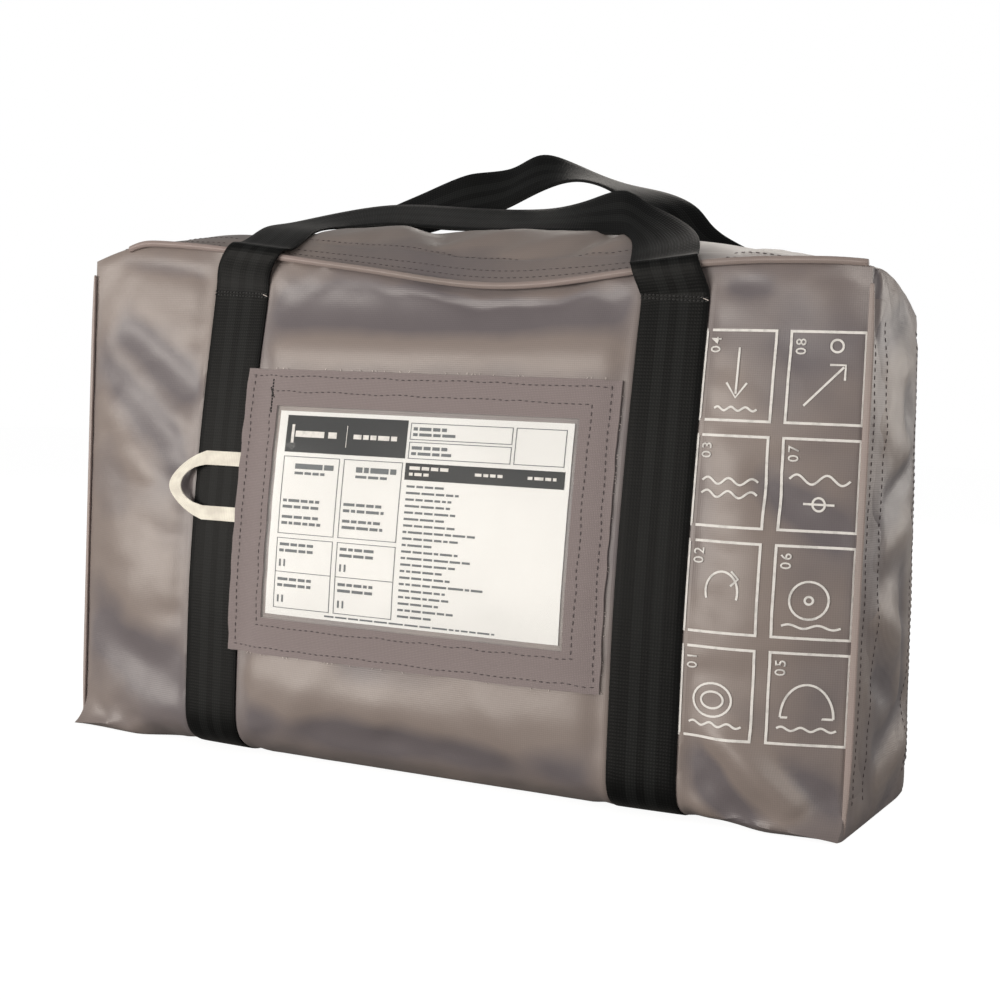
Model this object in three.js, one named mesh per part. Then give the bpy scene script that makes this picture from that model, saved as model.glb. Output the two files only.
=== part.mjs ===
// Soft carrying valise of a four-person liferaft, packed and closed.
// Millimetres, +Z up. The printed front faces -Y, the bag stands on its underside.

import * as THREE from 'three';

// Packed bag
const bagWidth = 650;
const bagDepth = 169;
const bagHeight = 386;
const crownRise = 31;
const frontBelly = 34;
const backBelly = 14;
const endBelly = 7;
const frontFootRadius = 28;
const backFootRadius = 30;
const topDip = 20;
const topDipHalfWidth = 190;
const topDipPlace = 52;
const leftShoulderRise = 13;
const leftCornerDrop = 12;
const rightCornerDrop = 3;
const rightCrownDrop = 7;
const cornerLength = 34;
const backCornerDrop = 32;
const backCornerLength = 58;
const backNarrowing = 9;
const topGather = 37;
const gridStep = 20;

// Webbing belts and carrying handles
const webbingWidth = 50;
const webbingThickness = 2;
const leftBeltPlace = -175;
const rightBeltPlace = 189;
const tackBelowEdge = 22;
const baseLap = 60;
const groovePadding = 9;

// Layers that are sewn or printed on
const layerGap = 0.3;
const sheetGap = 0.2;
const fabricThickness = 1.2;

// Document pocket, its window and the card behind it
const pocketWidth = 314;
const pocketHeight = 218;
const pocketPlaceX = 0.5;
const pocketBottom = 84.5;
const windowWidth = 253;
const windowHeight = 160;
const windowOffsetX = 3;
const windowBottom = 113.5;
const windowHem = 9;
const filmThickness = 0.3;
const cardWidth = 247;
const cardHeight = 155;
const cardThickness = 0.3;
const inkThickness = 0.2;
const cardMargin = 5;
const headerHeight = 27;
const headerWidth = 106;
const listBarHeight = 12;
const listBarWidth = 128;
const ruleWidth = 1.2;

// Pull loop of flat tape
const tapeWidth = 15;
const tapeThickness = 1.2;
const loopReach = 66;
const loopHeight = 58;
const loopBottom = 181;
const loopStandOff = 6;

// Instruction squares, numbered from the bottom of each column
const squareHeight = 62.9;
const squareGapX = 8.3;
const squareGapZ = 8.6;
const squaresRightMargin = 1;
const squaresBottom = 62.6;
const squareLine = 1.6;
const printGap = 0.5;
const squareRows = 4;
const motifLine = 2.2;

// Edges and gusset bands
const weltHeight = 6;
const weltSides = 6;
const rightFlangeWidth = 5;
const leftFlangeWidth = 3;
const backFlangeWidth = 3;
const flangeThickness = 2.4;
const finFloorGap = 3;
const bandThickness = 1.6;
const frontBandWidth = 34;
const backBandWidth = 30;
const bandEndMargin = 18;

const halfWidth = bagWidth / 2;
const beltGroove = webbingThickness + layerGap;
const beltPlaces = [leftBeltPlace, rightBeltPlace];

// The two columns of squares fill the strip between the right belt and the edge of the panel.
const squaresLeft = rightBeltPlace + webbingWidth / 2 + layerGap;
const squareWidth = (halfWidth - squaresRightMargin - squaresLeft - squareGapX) / 2;

const colours = {
  fabric: 0x857b7d,
  fabricEdge: 0xa8999a,
  fabricBand: 0x7b7073,
  webbing: 0x191b1a,
  pocket: 0x74696c,
  film: 0xe4e6e4,
  card: 0xe9ebe6,
  darkInk: 0x35383c,
  greyInk: 0x8b8e90,
  paleInk: 0xdcdad8,
  tape: 0xe6e1d6,
};

// Small helpers
const clamp = (value, low = 0, high = 1) => Math.min(high, Math.max(low, value));
const mix = (a, b, t) => a + (b - a) * t;
const smooth = (t) => clamp(t) ** 2 * (3 - 2 * clamp(t));
const bell = (t) => Math.exp(-t * t);

// Splits a stretch evenly into pieces no longer than step, ends included.
function evenly(from, to, step = gridStep) {
  const count = Math.max(1, Math.ceil(Math.abs(to - from) / step - 1e-6));
  return Array.from({ length: count + 1 }, (_, i) => mix(from, to, i / count));
}

// Joins stretches between the given stops into one rising list.
function stops(places, step = gridStep) {
  const list = [...places].sort((a, b) => a - b);
  const out = [list[0]];
  for (let i = 1; i < list.length; i += 1) {
    out.push(...evenly(list[i - 1], list[i], step).slice(1));
  }
  return out;
}

// Shape of the packed bag

// Soft folds that the stuffing leaves in the panels: a line from one point to another, with a
// half width and a height, as shares of the panel. The printed and sewn places stay smooth.
const frontFolds = [
  { from: [-0.98, 0.86], to: [-0.7, 0.5], half: 15, height: 4.5 },
  { from: [-0.93, 0.62], to: [-0.8, 0.24], half: 18, height: 3.5 },
  { from: [-0.97, 0.3], to: [-0.68, 0.1], half: 14, height: -3.5 },
  { from: [-0.4, 0.9], to: [0.3, 0.87], half: 13, height: -3 },
  { from: [-0.28, 0.07], to: [0.38, 0.1], half: 12, height: -2.5 },
  { from: [0.72, 0.1], to: [0.98, 0.03], half: 12, height: 4 },
];
const endFolds = [
  { from: [0.15, 0.88], to: [0.75, 0.78], half: 10, height: 3.5 },
  { from: [0.3, 0.62], to: [0.85, 0.55], half: 11, height: -3 },
  { from: [0.2, 0.38], to: [0.7, 0.3], half: 12, height: 3.5 },
  { from: [0.35, 0.14], to: [0.9, 0.2], half: 10, height: -3.5 },
];
const topFolds = [
  { from: [-0.05, 0.06], to: [-0.32, 0.6], half: 12, height: 3.5 },
  { from: [0.22, 0.05], to: [0.46, 0.34], half: 11, height: 4 },
];

function foldHeight(folds, u, v, scaleU, scaleV) {
  let sum = 0;
  for (const { from, to, half, height } of folds) {
    const dx = (to[0] - from[0]) * scaleU;
    const dz = (to[1] - from[1]) * scaleV;
    const length = Math.hypot(dx, dz);
    const px = (u - from[0]) * scaleU;
    const pz = (v - from[1]) * scaleV;
    const along = (px * dx + pz * dz) / (length * length);
    const aside = (px * dz - pz * dx) / length;
    const ends = smooth(0.5 + along * 3) * smooth(0.5 + (1 - along) * 3);
    sum += height * bell(aside / half) * ends;
  }
  return sum;
}

// Height of the front and back top edges: dipped in the middle, raised on the left shoulder.
function frontEdgeHeight(x) {
  const dip = topDip * bell((x - topDipPlace) / topDipHalfWidth * 1.6);
  const shoulder = leftShoulderRise * smooth((-x / halfWidth - 0.25) / 0.6);
  const drop = x < 0 ? leftCornerDrop : rightCornerDrop;
  return bagHeight - dip + shoulder - cornerSag(x, drop, cornerLength);
}

function backEdgeHeight(x) {
  return bagHeight + leftShoulderRise * 0.5 - cornerSag(x, backCornerDrop, backCornerLength);
}

function cornerSag(x, drop, length) {
  return drop * (1 - smooth((halfWidth - Math.abs(x)) / length));
}

// Height of the top panel at a share of the depth from front to back.
function topHeight(x, share) {
  const edge = mix(frontEdgeHeight(x), backEdgeHeight(x), clamp(share));
  const lean = clamp(0.5 - x / bagWidth);
  const middle = (frontEdgeHeight(x) + backEdgeHeight(x)) / 2;
  const ends = 1 - Math.abs(x / halfWidth) ** 5;
  const rightDrop = rightCrownDrop * smooth((x / halfWidth - 0.5) / 0.35);
  const ridge = bagHeight + crownRise * (0.7 + 0.45 * lean) * ends - rightDrop;
  const rise = Math.max(ridge - middle, 0);
  const folds = foldHeight(topFolds, x / halfWidth, share, halfWidth, bagDepth);
  return edge + rise * (1 - Math.abs(2 * clamp(share) - 1) ** 2.2) + folds * Math.sin(Math.PI * clamp(share));
}

function bellyShare(height) {
  return 1 - clamp((height / bagHeight - 0.3) / 0.7) ** 1.6;
}

// Front skin at a height measured along the flat panel, before the belts press into it.
function frontSkin(x, height) {
  const ends = 1 - Math.abs(x / halfWidth) ** 4;
  const folds = foldHeight(frontFolds, x / halfWidth, height / bagHeight, halfWidth, bagHeight);
  const lift = (frontEdgeHeight(x) - bagHeight) * smooth((height - bagHeight + topGather) / topGather);
  const edgeFade = smooth(height / 40) * smooth((bagHeight - height) / 30) * clamp(ends * 4);
  const y = -frontBelly * bellyShare(height) * ends - folds * edgeFade;
  return foot(x, y, height + lift, frontFootRadius * footShare(x), 1);
}

function backSkin(x, height) {
  const ends = 1 - Math.abs(x / halfWidth) ** 4;
  const lift = (backEdgeHeight(x) - bagHeight) * smooth(height / bagHeight);
  const y = bagDepth + backBelly * Math.sin(Math.PI * clamp(height / bagHeight)) ** 0.8 * ends;
  const narrowed = x * (1 - (backNarrowing / halfWidth) * clamp(height / bagHeight));
  return foot(narrowed, y, height + lift, backFootRadius * footShare(x), -1);
}

function footShare(x) {
  return (1.1 - 0.15 * (x / halfWidth)) * (1 - 0.75 * Math.abs(x / halfWidth) ** 6);
}

// Rounds the lower edge: half of the quarter circle belongs to the wall, half to the underside.
function foot(x, y, z, radius, inward) {
  if (z >= radius) {
    return new THREE.Vector3(x, y, z);
  }
  const angle = (Math.PI / 4) * (1 - z / radius);
  return new THREE.Vector3(x, y + inward * radius * (1 - Math.cos(angle)), radius * (1 - Math.sin(angle)));
}

// Underside at a share of the depth: flat where it stands, rising into both rounded feet.
function baseSkin(x, share) {
  const frontRadius = frontFootRadius * footShare(x);
  const backRadius = backFootRadius * footShare(x);
  const frontWall = -frontBelly * (1 - Math.abs(x / halfWidth) ** 4);
  const backWall = bagDepth;
  const start = frontSkin(x, 0).y;
  const end = backSkin(x, 0).y;
  const y = mix(start, end, share);
  let z = 0;
  if (y < frontWall + frontRadius) {
    const reach = frontWall + frontRadius - y;
    z = frontRadius - Math.sqrt(Math.max(frontRadius ** 2 - reach ** 2, 0));
  } else if (y > backWall - backRadius) {
    const reach = y - backWall + backRadius;
    z = backRadius - Math.sqrt(Math.max(backRadius ** 2 - reach ** 2, 0));
  }
  return new THREE.Vector3(x, y, z);
}

function topSkin(x, share) {
  const y = mix(frontSkin(x, bagHeight).y, backSkin(x, bagHeight).y, share);
  const narrowed = x * (1 - (backNarrowing / halfWidth) * share);
  return new THREE.Vector3(narrowed, y, topHeight(x, share));
}

// Closed body from points and triangles, turned so that its faces point out.
function closedBody(points, triangles) {
  let volume = 0;
  const cross = new THREE.Vector3();
  for (const [a, b, c] of triangles) {
    cross.crossVectors(points[b], points[c]);
    volume += points[a].dot(cross);
  }
  const order = volume < 0 ? triangles.map(([a, b, c]) => [a, c, b]) : triangles;
  const geometry = new THREE.BufferGeometry();
  geometry.setAttribute('position', new THREE.Float32BufferAttribute(points.flatMap((p) => [p.x, p.y, p.z]), 3));
  geometry.setIndex(order.flat());
  geometry.computeVertexNormals();
  return geometry;
}

// Normals of a grid of points, out of the bag for rows and columns given as here.
function gridNormals(grid) {
  const rows = grid.length;
  const columns = grid[0].length;
  return grid.map((row, j) => row.map((_, i) => {
    const left = grid[j][Math.max(i - 1, 0)];
    const right = grid[j][Math.min(i + 1, columns - 1)];
    const below = grid[Math.max(j - 1, 0)][i];
    const above = grid[Math.min(j + 1, rows - 1)][i];
    return new THREE.Vector3().subVectors(right, left).cross(above.clone().sub(below)).normalize();
  }));
}

// A layer on a grid of points: the cells that filled accepts, between two heights off the grid.
function layer(grid, filled, inner, outer) {
  const normals = gridNormals(grid);
  const rows = grid.length - 1;
  const columns = grid[0].length - 1;
  const points = [];
  const seen = new Map();
  const height = (value, i, j) => (typeof value === 'function' ? value(i, j) : value);
  const corner = (i, j, side) => {
    const key = `${i},${j},${side}`;
    if (!seen.has(key)) {
      seen.set(key, points.length);
      const off = height(side ? outer : inner, i, j);
      points.push(grid[j][i].clone().addScaledVector(normals[j][i], off));
    }
    return seen.get(key);
  };
  const isFilled = (i, j) => i >= 0 && j >= 0 && i < columns && j < rows && filled(i, j);
  const triangles = [];
  const wall = (a, b) => {
    const [a0, a1] = [corner(...a, 0), corner(...a, 1)];
    const [b0, b1] = [corner(...b, 0), corner(...b, 1)];
    triangles.push([a0, b0, b1], [a0, b1, a1]);
  };
  for (let j = 0; j < rows; j += 1) {
    for (let i = 0; i < columns; i += 1) {
      if (!isFilled(i, j)) {
        continue;
      }
      const [a, b, c, d] = [corner(i, j, 1), corner(i + 1, j, 1), corner(i + 1, j + 1, 1), corner(i, j + 1, 1)];
      triangles.push([a, b, c], [a, c, d]);
      const [e, f, g, h] = [corner(i, j, 0), corner(i + 1, j, 0), corner(i + 1, j + 1, 0), corner(i, j + 1, 0)];
      triangles.push([e, g, f], [e, h, g]);
      if (!isFilled(i, j - 1)) wall([i, j], [i + 1, j]);
      if (!isFilled(i + 1, j)) wall([i + 1, j], [i + 1, j + 1]);
      if (!isFilled(i, j + 1)) wall([i + 1, j + 1], [i, j + 1]);
      if (!isFilled(i - 1, j)) wall([i, j + 1], [i, j]);
    }
  }
  return closedBody(points, triangles);
}

// Rectangular stretch of the front skin as a grid of points.
const frontGrid = (xs, zs) => zs.map((z) => xs.map((x) => frontSkin(x, z)));

// Skin of sections, each a ring of as many points, closed at both ends.
function loft(rings) {
  const size = rings[0].length;
  const points = rings.flat();
  const triangles = [];
  for (let s = 0; s + 1 < rings.length; s += 1) {
    for (let k = 0; k < size; k += 1) {
      const a = s * size + k;
      const b = s * size + (k + 1) % size;
      triangles.push([a, b, b + size], [a, b + size, a + size]);
    }
  }
  const last = (rings.length - 1) * size;
  const half = size / 2;
  for (let k = 0; k + 1 < half; k += 1) {
    const [a, b] = [k, k + 1];
    const [c, d] = [size - 2 - k, size - 1 - k];
    triangles.push([a, d, c], [a, c, b]);
    triangles.push([last + a, last + c, last + d], [last + a, last + b, last + c]);
  }
  return closedBody(points, triangles);
}

// Lines of the body's grid
const beltLines = beltPlaces.flatMap((place) => [
  place - webbingWidth / 2 - groovePadding,
  place - webbingWidth / 2,
  place,
  place + webbingWidth / 2,
  place + webbingWidth / 2 + groovePadding,
]);
const columnLines = stops([-halfWidth, ...beltLines, halfWidth]);
const wallLines = stops([0, frontFootRadius, bagHeight - tackBelowEdge, bagHeight]);
const lapFrom = (bagDepth - baseLap) / 2;
const lapTo = (bagDepth + baseLap) / 2;
const depthLines = stops([0, frontBandWidth, lapFrom, lapTo, bagDepth - backBandWidth, bagDepth]);
const inLap = (y) => y > lapFrom - 1e-6 && y < lapTo + 1e-6;

const isBelted = (x) => beltPlaces.some((place) => Math.abs(x - place) <= webbingWidth / 2 + 1e-6);

// Stations of one belt-wise ring: up the front, back over the top, down the back and under.
// Each gives a point on the skin at x and the direction into the bag there.
function wallStation(skin, height) {
  return {
    kind: 'wall',
    fade: smooth((bagHeight - height) / tackBelowEdge),
    layers: 1,
    at: (x) => skin(x, height),
    inward: (point) => new THREE.Vector3(0, bagDepth / 2, Math.max(frontFootRadius, point.z))
      .sub(new THREE.Vector3(0, point.y, point.z)).normalize(),
  };
}
const frontStations = wallLines.map((height) => wallStation(frontSkin, height));
const backStations = wallLines.map((height) => wallStation(backSkin, height)).reverse();
const topStations = depthLines.slice(1, -1).map((y) => ({
  fade: 0,
  layers: 1,
  at: (x) => topSkin(x, y / bagDepth),
  inward: () => new THREE.Vector3(0, 0, -1),
}));
const baseStations = depthLines.slice(1, -1).reverse().map((y) => ({
  fade: 1,
  layers: inLap(y) ? 2 : 1,
  at: (x) => baseSkin(x, y / bagDepth),
  inward: () => new THREE.Vector3(0, 0, 1),
}));

// Point of a station at x, a number of millimetres under the skin.
function under(station, x, depth) {
  const point = station.at(x);
  return point.clone().addScaledVector(station.inward(point), depth);
}

// The packed bag: belt-wise rings along the width, closed by the two end panels.
function packedValise() {
  const ring = [...frontStations, ...topStations, ...backStations, ...baseStations];
  const size = ring.length;
  const points = [];
  for (const x of columnLines) {
    for (const station of ring) {
      const depth = isBelted(x) ? beltGroove * station.layers * station.fade : 0;
      points.push(under(station, x, depth));
    }
  }
  const triangles = [];
  for (let c = 0; c + 1 < columnLines.length; c += 1) {
    for (let r = 0; r < size; r += 1) {
      const [a, b] = [c * size + r, c * size + (r + 1) % size];
      triangles.push([a, b, b + size], [a, b + size, a + size]);
    }
  }
  for (const side of [-1, 1]) {
    const grid = endGrid(side);
    const offset = side < 0 ? 0 : (columnLines.length - 1) * size;
    const [rows, columns] = [grid.length, grid[0].length];
    const index = grid.map((row, j) => row.map((point, i) => {
      if (i === 0) return offset + j;
      if (j === rows - 1) return offset + rows - 1 + i;
      if (i === columns - 1) return offset + rows + columns - 3 + rows - j;
      if (j === 0) return offset + 2 * rows + 2 * columns - 4 - i;
      points.push(point);
      return points.length - 1;
    }));
    for (let j = 0; j + 1 < rows; j += 1) {
      for (let i = 0; i + 1 < columns; i += 1) {
        const [a, b, c, d] = [index[j][i], index[j][i + 1], index[j + 1][i + 1], index[j + 1][i]];
        triangles.push(...(side > 0 ? [[a, c, b], [a, d, c]] : [[a, b, c], [a, c, d]]));
      }
    }
  }
  return closedBody(points, triangles);
}

// End panel as a grid, upward by rows and front to back by columns, filled in from its edges.
function endGrid(side) {
  const x = side * halfWidth;
  const [rows, columns] = [wallLines.length - 1, depthLines.length - 1];
  const front = wallLines.map((z) => frontSkin(x, z));
  const back = wallLines.map((z) => backSkin(x, z));
  const top = depthLines.map((y) => topSkin(x, y / bagDepth));
  const base = depthLines.map((y) => baseSkin(x, y / bagDepth));
  return wallLines.map((_, j) => depthLines.map((y, i) => {
    const [s, t] = [j / rows, y / bagDepth];
    const point = new THREE.Vector3();
    point.addScaledVector(front[j], 1 - t).addScaledVector(back[j], t);
    point.addScaledVector(base[i], 1 - s).addScaledVector(top[i], s);
    point.addScaledVector(front[0], -(1 - t) * (1 - s)).addScaledVector(back[0], -t * (1 - s));
    point.addScaledVector(front[rows], -(1 - t) * s).addScaledVector(back[rows], -t * s);
    const inside = Math.sin(Math.PI * t) ** 0.7 * Math.sin(Math.PI * s) ** 0.7;
    const folds = foldHeight(endFolds, t, s, bagDepth, bagHeight);
    const rim = i === 0 || j === 0 || i === columns || j === rows;
    point.x += rim ? 0 : side * (endBelly * inside + folds * smooth(inside * 2));
    return point;
  }));
}

// Band of doubled cloth sewn along an edge of an end panel.
function gussetBand(side, from, to) {
  const grid = endGrid(side);
  const inBand = (y) => y > from - 1e-6 && y < to - 1e-6;
  const low = bandEndMargin;
  const high = bagHeight - bandEndMargin;
  const filled = (i, j) => inBand(depthLines[i]) && wallLines[j] >= low && wallLines[j + 1] <= high;
  return layer(grid, filled, side * layerGap, side * (layerGap + bandThickness));
}

// Webbing belts with their handles

const widthPlaces = (place) => [place - webbingWidth / 2, place, place + webbingWidth / 2];

// Section of a belt that lies on the bag: its outer face is level with the fabric beside it.
function lyingSection(station, place, level) {
  const xs = widthPlaces(place);
  const deep = beltGroove * level - layerGap;
  const shallow = beltGroove * (level - 1);
  const inner = xs.map((x) => under(station, x, deep));
  const outer = xs.map((x) => under(station, x, shallow)).reverse();
  return [...inner, ...outer];
}

// Routes of the handles, by their lower edge. across goes from the left belt to the right one,
// back is a share of the depth, rise is in webbing widths over the top panel, heading and lean
// turn the webbing's width from that edge, and follow keeps it parallel to the panel under it.
const frontRoute = [
  { across: 0.005, back: -0.028, rise: -0.24, heading: 180, lean: 0, follow: 1 },
  { across: 0.03, back: -0.045, rise: 0.02, heading: 180, lean: 0, follow: 1 },
  { across: 0.045, back: -0.028, rise: 0.17, heading: 180, lean: 0, follow: 1 },
  { across: 0.05, back: 0.02, rise: 0.14, heading: 180, lean: 0, follow: 1 },
  { across: 0.05, back: 0.08, rise: 0.09, heading: 178, lean: 1, follow: 1 },
  { across: 0.035, back: 0.237, rise: 0.08, heading: 175, lean: 3, follow: 1 },
  { across: 0.03, back: 0.4, rise: 0.08, heading: 165, lean: 6, follow: 0.6 },
  { across: 0.06, back: 0.485, rise: 0.09, heading: 140, lean: 18, follow: 0.2 },
  { across: 0.17, back: 0.51, rise: 0.09, heading: 112, lean: 26, follow: 0 },
  { across: 0.35, back: 0.503, rise: 0.08, heading: 92, lean: 26, follow: 0 },
  { across: 0.573, back: 0.485, rise: 0.07, heading: 92, lean: 26, follow: 0 },
  { across: 0.717, back: 0.456, rise: 0.07, heading: 104, lean: 35, follow: 0 },
  { across: 0.815, back: 0.4, rise: 0.07, heading: 114, lean: 45, follow: 0 },
  { across: 0.875, back: 0.325, rise: 0.08, heading: 112, lean: 48, follow: 0 },
  { across: 0.915, back: 0.225, rise: 0.09, heading: 92, lean: 34, follow: 0.3 },
  { across: 0.938, back: 0.13, rise: 0.1, heading: 48, lean: 14, follow: 0.7 },
  { across: 0.952, back: 0.06, rise: 0.12, heading: 16, lean: 3, follow: 1 },
  { across: 0.962, back: 0.005, rise: 0.15, heading: 3, lean: 0, follow: 1 },
  { across: 0.97, back: -0.028, rise: 0.17, heading: 0, lean: 0, follow: 1 },
  { across: 0.98, back: -0.045, rise: 0.02, heading: 0, lean: 0, follow: 1 },
  { across: 0.995, back: -0.028, rise: -0.24, heading: 0, lean: 0, follow: 1 },
];
const backRoute = [
  { across: 0, back: 1.02, rise: -0.24, heading: 180, lean: 0, follow: 1 },
  { across: 0.004, back: 1.022, rise: 0.04, heading: 180, lean: 0, follow: 1 },
  { across: 0.012, back: 0.97, rise: 0.12, heading: 170, lean: 8, follow: 0.8 },
  { across: 0.038, back: 0.9, rise: 0.3, heading: 148, lean: 22, follow: 0 },
  { across: 0.159, back: 0.876, rise: 0.36, heading: 124, lean: 48, follow: 0 },
  { across: 0.268, back: 0.872, rise: 0.52, heading: 104, lean: 62, follow: 0 },
  { across: 0.328, back: 0.864, rise: 0.6, heading: 102, lean: 56, follow: 0 },
  { across: 0.401, back: 0.864, rise: 0.71, heading: 100, lean: 51, follow: 0 },
  { across: 0.487, back: 0.864, rise: 0.95, heading: 106, lean: 50, follow: 0 },
  { across: 0.564, back: 0.864, rise: 1.13, heading: 104, lean: 28, follow: 0 },
  { across: 0.627, back: 0.864, rise: 1.17, heading: 98, lean: 13, follow: 0 },
  { across: 0.707, back: 0.846, rise: 1, heading: 92, lean: 10, follow: 0 },
  { across: 0.764, back: 0.828, rise: 0.744, heading: 70, lean: 15, follow: 0 },
  { across: 0.809, back: 0.84, rise: 0.58, heading: 53, lean: 12, follow: 0 },
  { across: 0.832, back: 0.852, rise: 0.36, heading: 44, lean: 9, follow: 0 },
  { across: 0.862, back: 0.888, rise: 0.15, heading: 33, lean: 12, follow: 0 },
  { across: 0.94, back: 0.96, rise: 0.1, heading: 17, lean: 6, follow: 0.3 },
  { across: 0.985, back: 1.022, rise: 0.04, heading: 3, lean: 0, follow: 1 },
  { across: 1, back: 1.02, rise: -0.24, heading: 0, lean: 0, follow: 1 },
];
const stepsPerLeg = 2;

function handleEdges(route) {
  const leftInner = leftBeltPlace + webbingWidth / 2;
  const rightInner = rightBeltPlace - webbingWidth / 2;
  return route.map(({ across, back, rise, heading, lean, follow }) => {
    const [azimuth, tilt] = [heading, lean].map(THREE.MathUtils.degToRad);
    const near = new THREE.Vector3(mix(leftInner, rightInner, across), back * bagDepth, 0);
    near.z = topHeight(near.x, back) + rise * webbingWidth;
    const far = new THREE.Vector3(Math.cos(azimuth), Math.sin(azimuth), Math.tan(tilt));
    far.normalize().multiplyScalar(webbingWidth).add(near);
    far.z += follow * (topHeight(far.x, far.y / bagDepth) - topHeight(near.x, back));
    return [near, far];
  });
}

// Sections of the free handle between two belts, with the face that looks at the bag first.
function handleSections(route, start, end, turn) {
  const edges = handleEdges(route);
  const nearCurve = new THREE.CatmullRomCurve3([start[0], ...edges.map(([near]) => near), end[0]]);
  const farCurve = new THREE.CatmullRomCurve3([start[1], ...edges.map(([, far]) => far), end[1]]);
  const steps = (edges.length + 1) * stepsPerLeg;
  const sections = [];
  for (let s = 1; s < steps; s += 1) {
    const t = s / steps;
    const near = nearCurve.getPoint(t);
    const across = farCurve.getPoint(t).sub(near).normalize();
    const along = nearCurve.getPoint(t + 0.002).add(farCurve.getPoint(t + 0.002));
    along.sub(nearCurve.getPoint(t - 0.002)).sub(farCurve.getPoint(t - 0.002)).normalize();
    const facing = new THREE.Vector3().crossVectors(across, along).normalize();
    facing.multiplyScalar(turn * webbingThickness / 2);
    const line = [0, 0.5, 1].map((share) => near.clone().addScaledVector(across, share * webbingWidth));
    const inner = line.map((point) => point.clone().add(facing));
    const outer = line.map((point) => point.clone().sub(facing)).reverse();
    sections.push([...inner, ...outer]);
  }
  return sections;
}

// One belt: from its lap under the bag up one wall, through the handle and back down again.
function beltWithHandle(route, walls, foot, turn) {
  const rising = walls.filter((station) => station.fade >= 1 - 1e-9);
  const climb = (place) => [
    ...foot.map((station) => lyingSection(station, place, turn > 0 ? station.layers : 1)),
    ...rising.map((station) => lyingSection(station, place, 1)),
  ];
  // Sections run inner edge first, so the left leg is turned round.
  const mirrored = (section) => [section[2], section[1], section[0], section[5], section[4], section[3]];
  const left = climb(leftBeltPlace).map(mirrored);
  const right = climb(rightBeltPlace);
  const middle = (section, k) => section[k].clone().add(section[5 - k]).multiplyScalar(0.5);
  const [leftTop, rightTop] = [left.at(-1), right.at(-1)];
  const start = [middle(leftTop, 0), middle(leftTop, 2)];
  const end = [middle(rightTop, 0), middle(rightTop, 2)];
  return loft([...left, ...handleSections(route, start, end, turn), ...right.reverse()]);
}

const frontFoot = baseStations.filter((_, i) => depthLines.slice(1, -1).reverse()[i] < lapTo + 1e-6);
const backFoot = baseStations.filter((_, i) => depthLines.slice(1, -1).reverse()[i] > lapFrom - 1e-6);

const frontBelt = () => beltWithHandle(frontRoute, frontStations, frontFoot, 1);
const backBelt = () => beltWithHandle(backRoute, [...backStations].reverse(), [...backFoot].reverse(), -1);

// Document pocket: a patch with a window, the film behind its edge and the card behind the film

const cardInner = sheetGap;
const inkInner = cardInner + cardThickness + sheetGap;
const filmInner = inkInner + inkThickness + sheetGap;
const windowInner = filmInner + filmThickness + sheetGap;
const pocketLeft = pocketPlaceX - pocketWidth / 2;
const windowLeft = windowOffsetX - windowWidth / 2;
const windowRight = windowLeft + windowWidth;
const windowTop = windowBottom + windowHeight;
const sheetStep = 24;

function documentPocket() {
  const hem = windowHem + layerGap;
  const xs = stops([pocketLeft, windowLeft - hem, windowLeft, windowRight, windowRight + hem,
    pocketLeft + pocketWidth], sheetStep);
  const zs = stops([pocketBottom, windowBottom - hem, windowBottom, windowTop, windowTop + hem,
    pocketBottom + pocketHeight], sheetStep);
  const inOpening = (i, j) => xs[i] >= windowLeft - 1e-6 && xs[i + 1] <= windowRight + 1e-6
    && zs[j] >= windowBottom - 1e-6 && zs[j + 1] <= windowTop + 1e-6;
  const overFilm = (i, j) => xs[i] > windowLeft - hem - 1e-6 && xs[i] < windowRight + hem + 1e-6
    && zs[j] > windowBottom - hem - 1e-6 && zs[j] < windowTop + hem + 1e-6;
  const inner = (i, j) => (overFilm(i, j) ? windowInner : layerGap);
  const outer = (i, j) => inner(i, j) + fabricThickness;
  return layer(frontGrid(xs, zs), (i, j) => !inOpening(i, j), inner, outer);
}

const whole = () => true;

function sheet(left, right, low, high, inner, thickness, step = sheetStep) {
  const grid = frontGrid(stops([left, right], step), stops([low, high], step));
  return layer(grid, whole, inner, inner + thickness);
}

const pocketWindow = () => sheet(windowLeft - windowHem, windowRight + windowHem,
  windowBottom - windowHem, windowTop + windowHem, filmInner, filmThickness);
const cardLeft = windowOffsetX - cardWidth / 2;
const cardRight = cardLeft + cardWidth;
const cardBottom = windowBottom + (windowHeight - cardHeight) / 2;
const cardTop = cardBottom + cardHeight;
const printLeft = cardLeft + cardMargin;
const printRight = cardRight - cardMargin;
const printTop = cardTop - cardMargin;
const printBottom = cardBottom + cardMargin;
const bodyTop = printTop - headerHeight - cardMargin;
const listLeft = printRight - listBarWidth;

const labelCard = () => sheet(cardLeft, cardRight, cardBottom, cardTop, cardInner, cardThickness);
const labelHeader = () => sheet(printLeft, printLeft + headerWidth, printTop - headerHeight, printTop,
  inkInner, inkThickness);
const labelListBar = () => sheet(listLeft, printRight, bodyTop - listBarHeight, bodyTop, inkInner, inkThickness);

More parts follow.
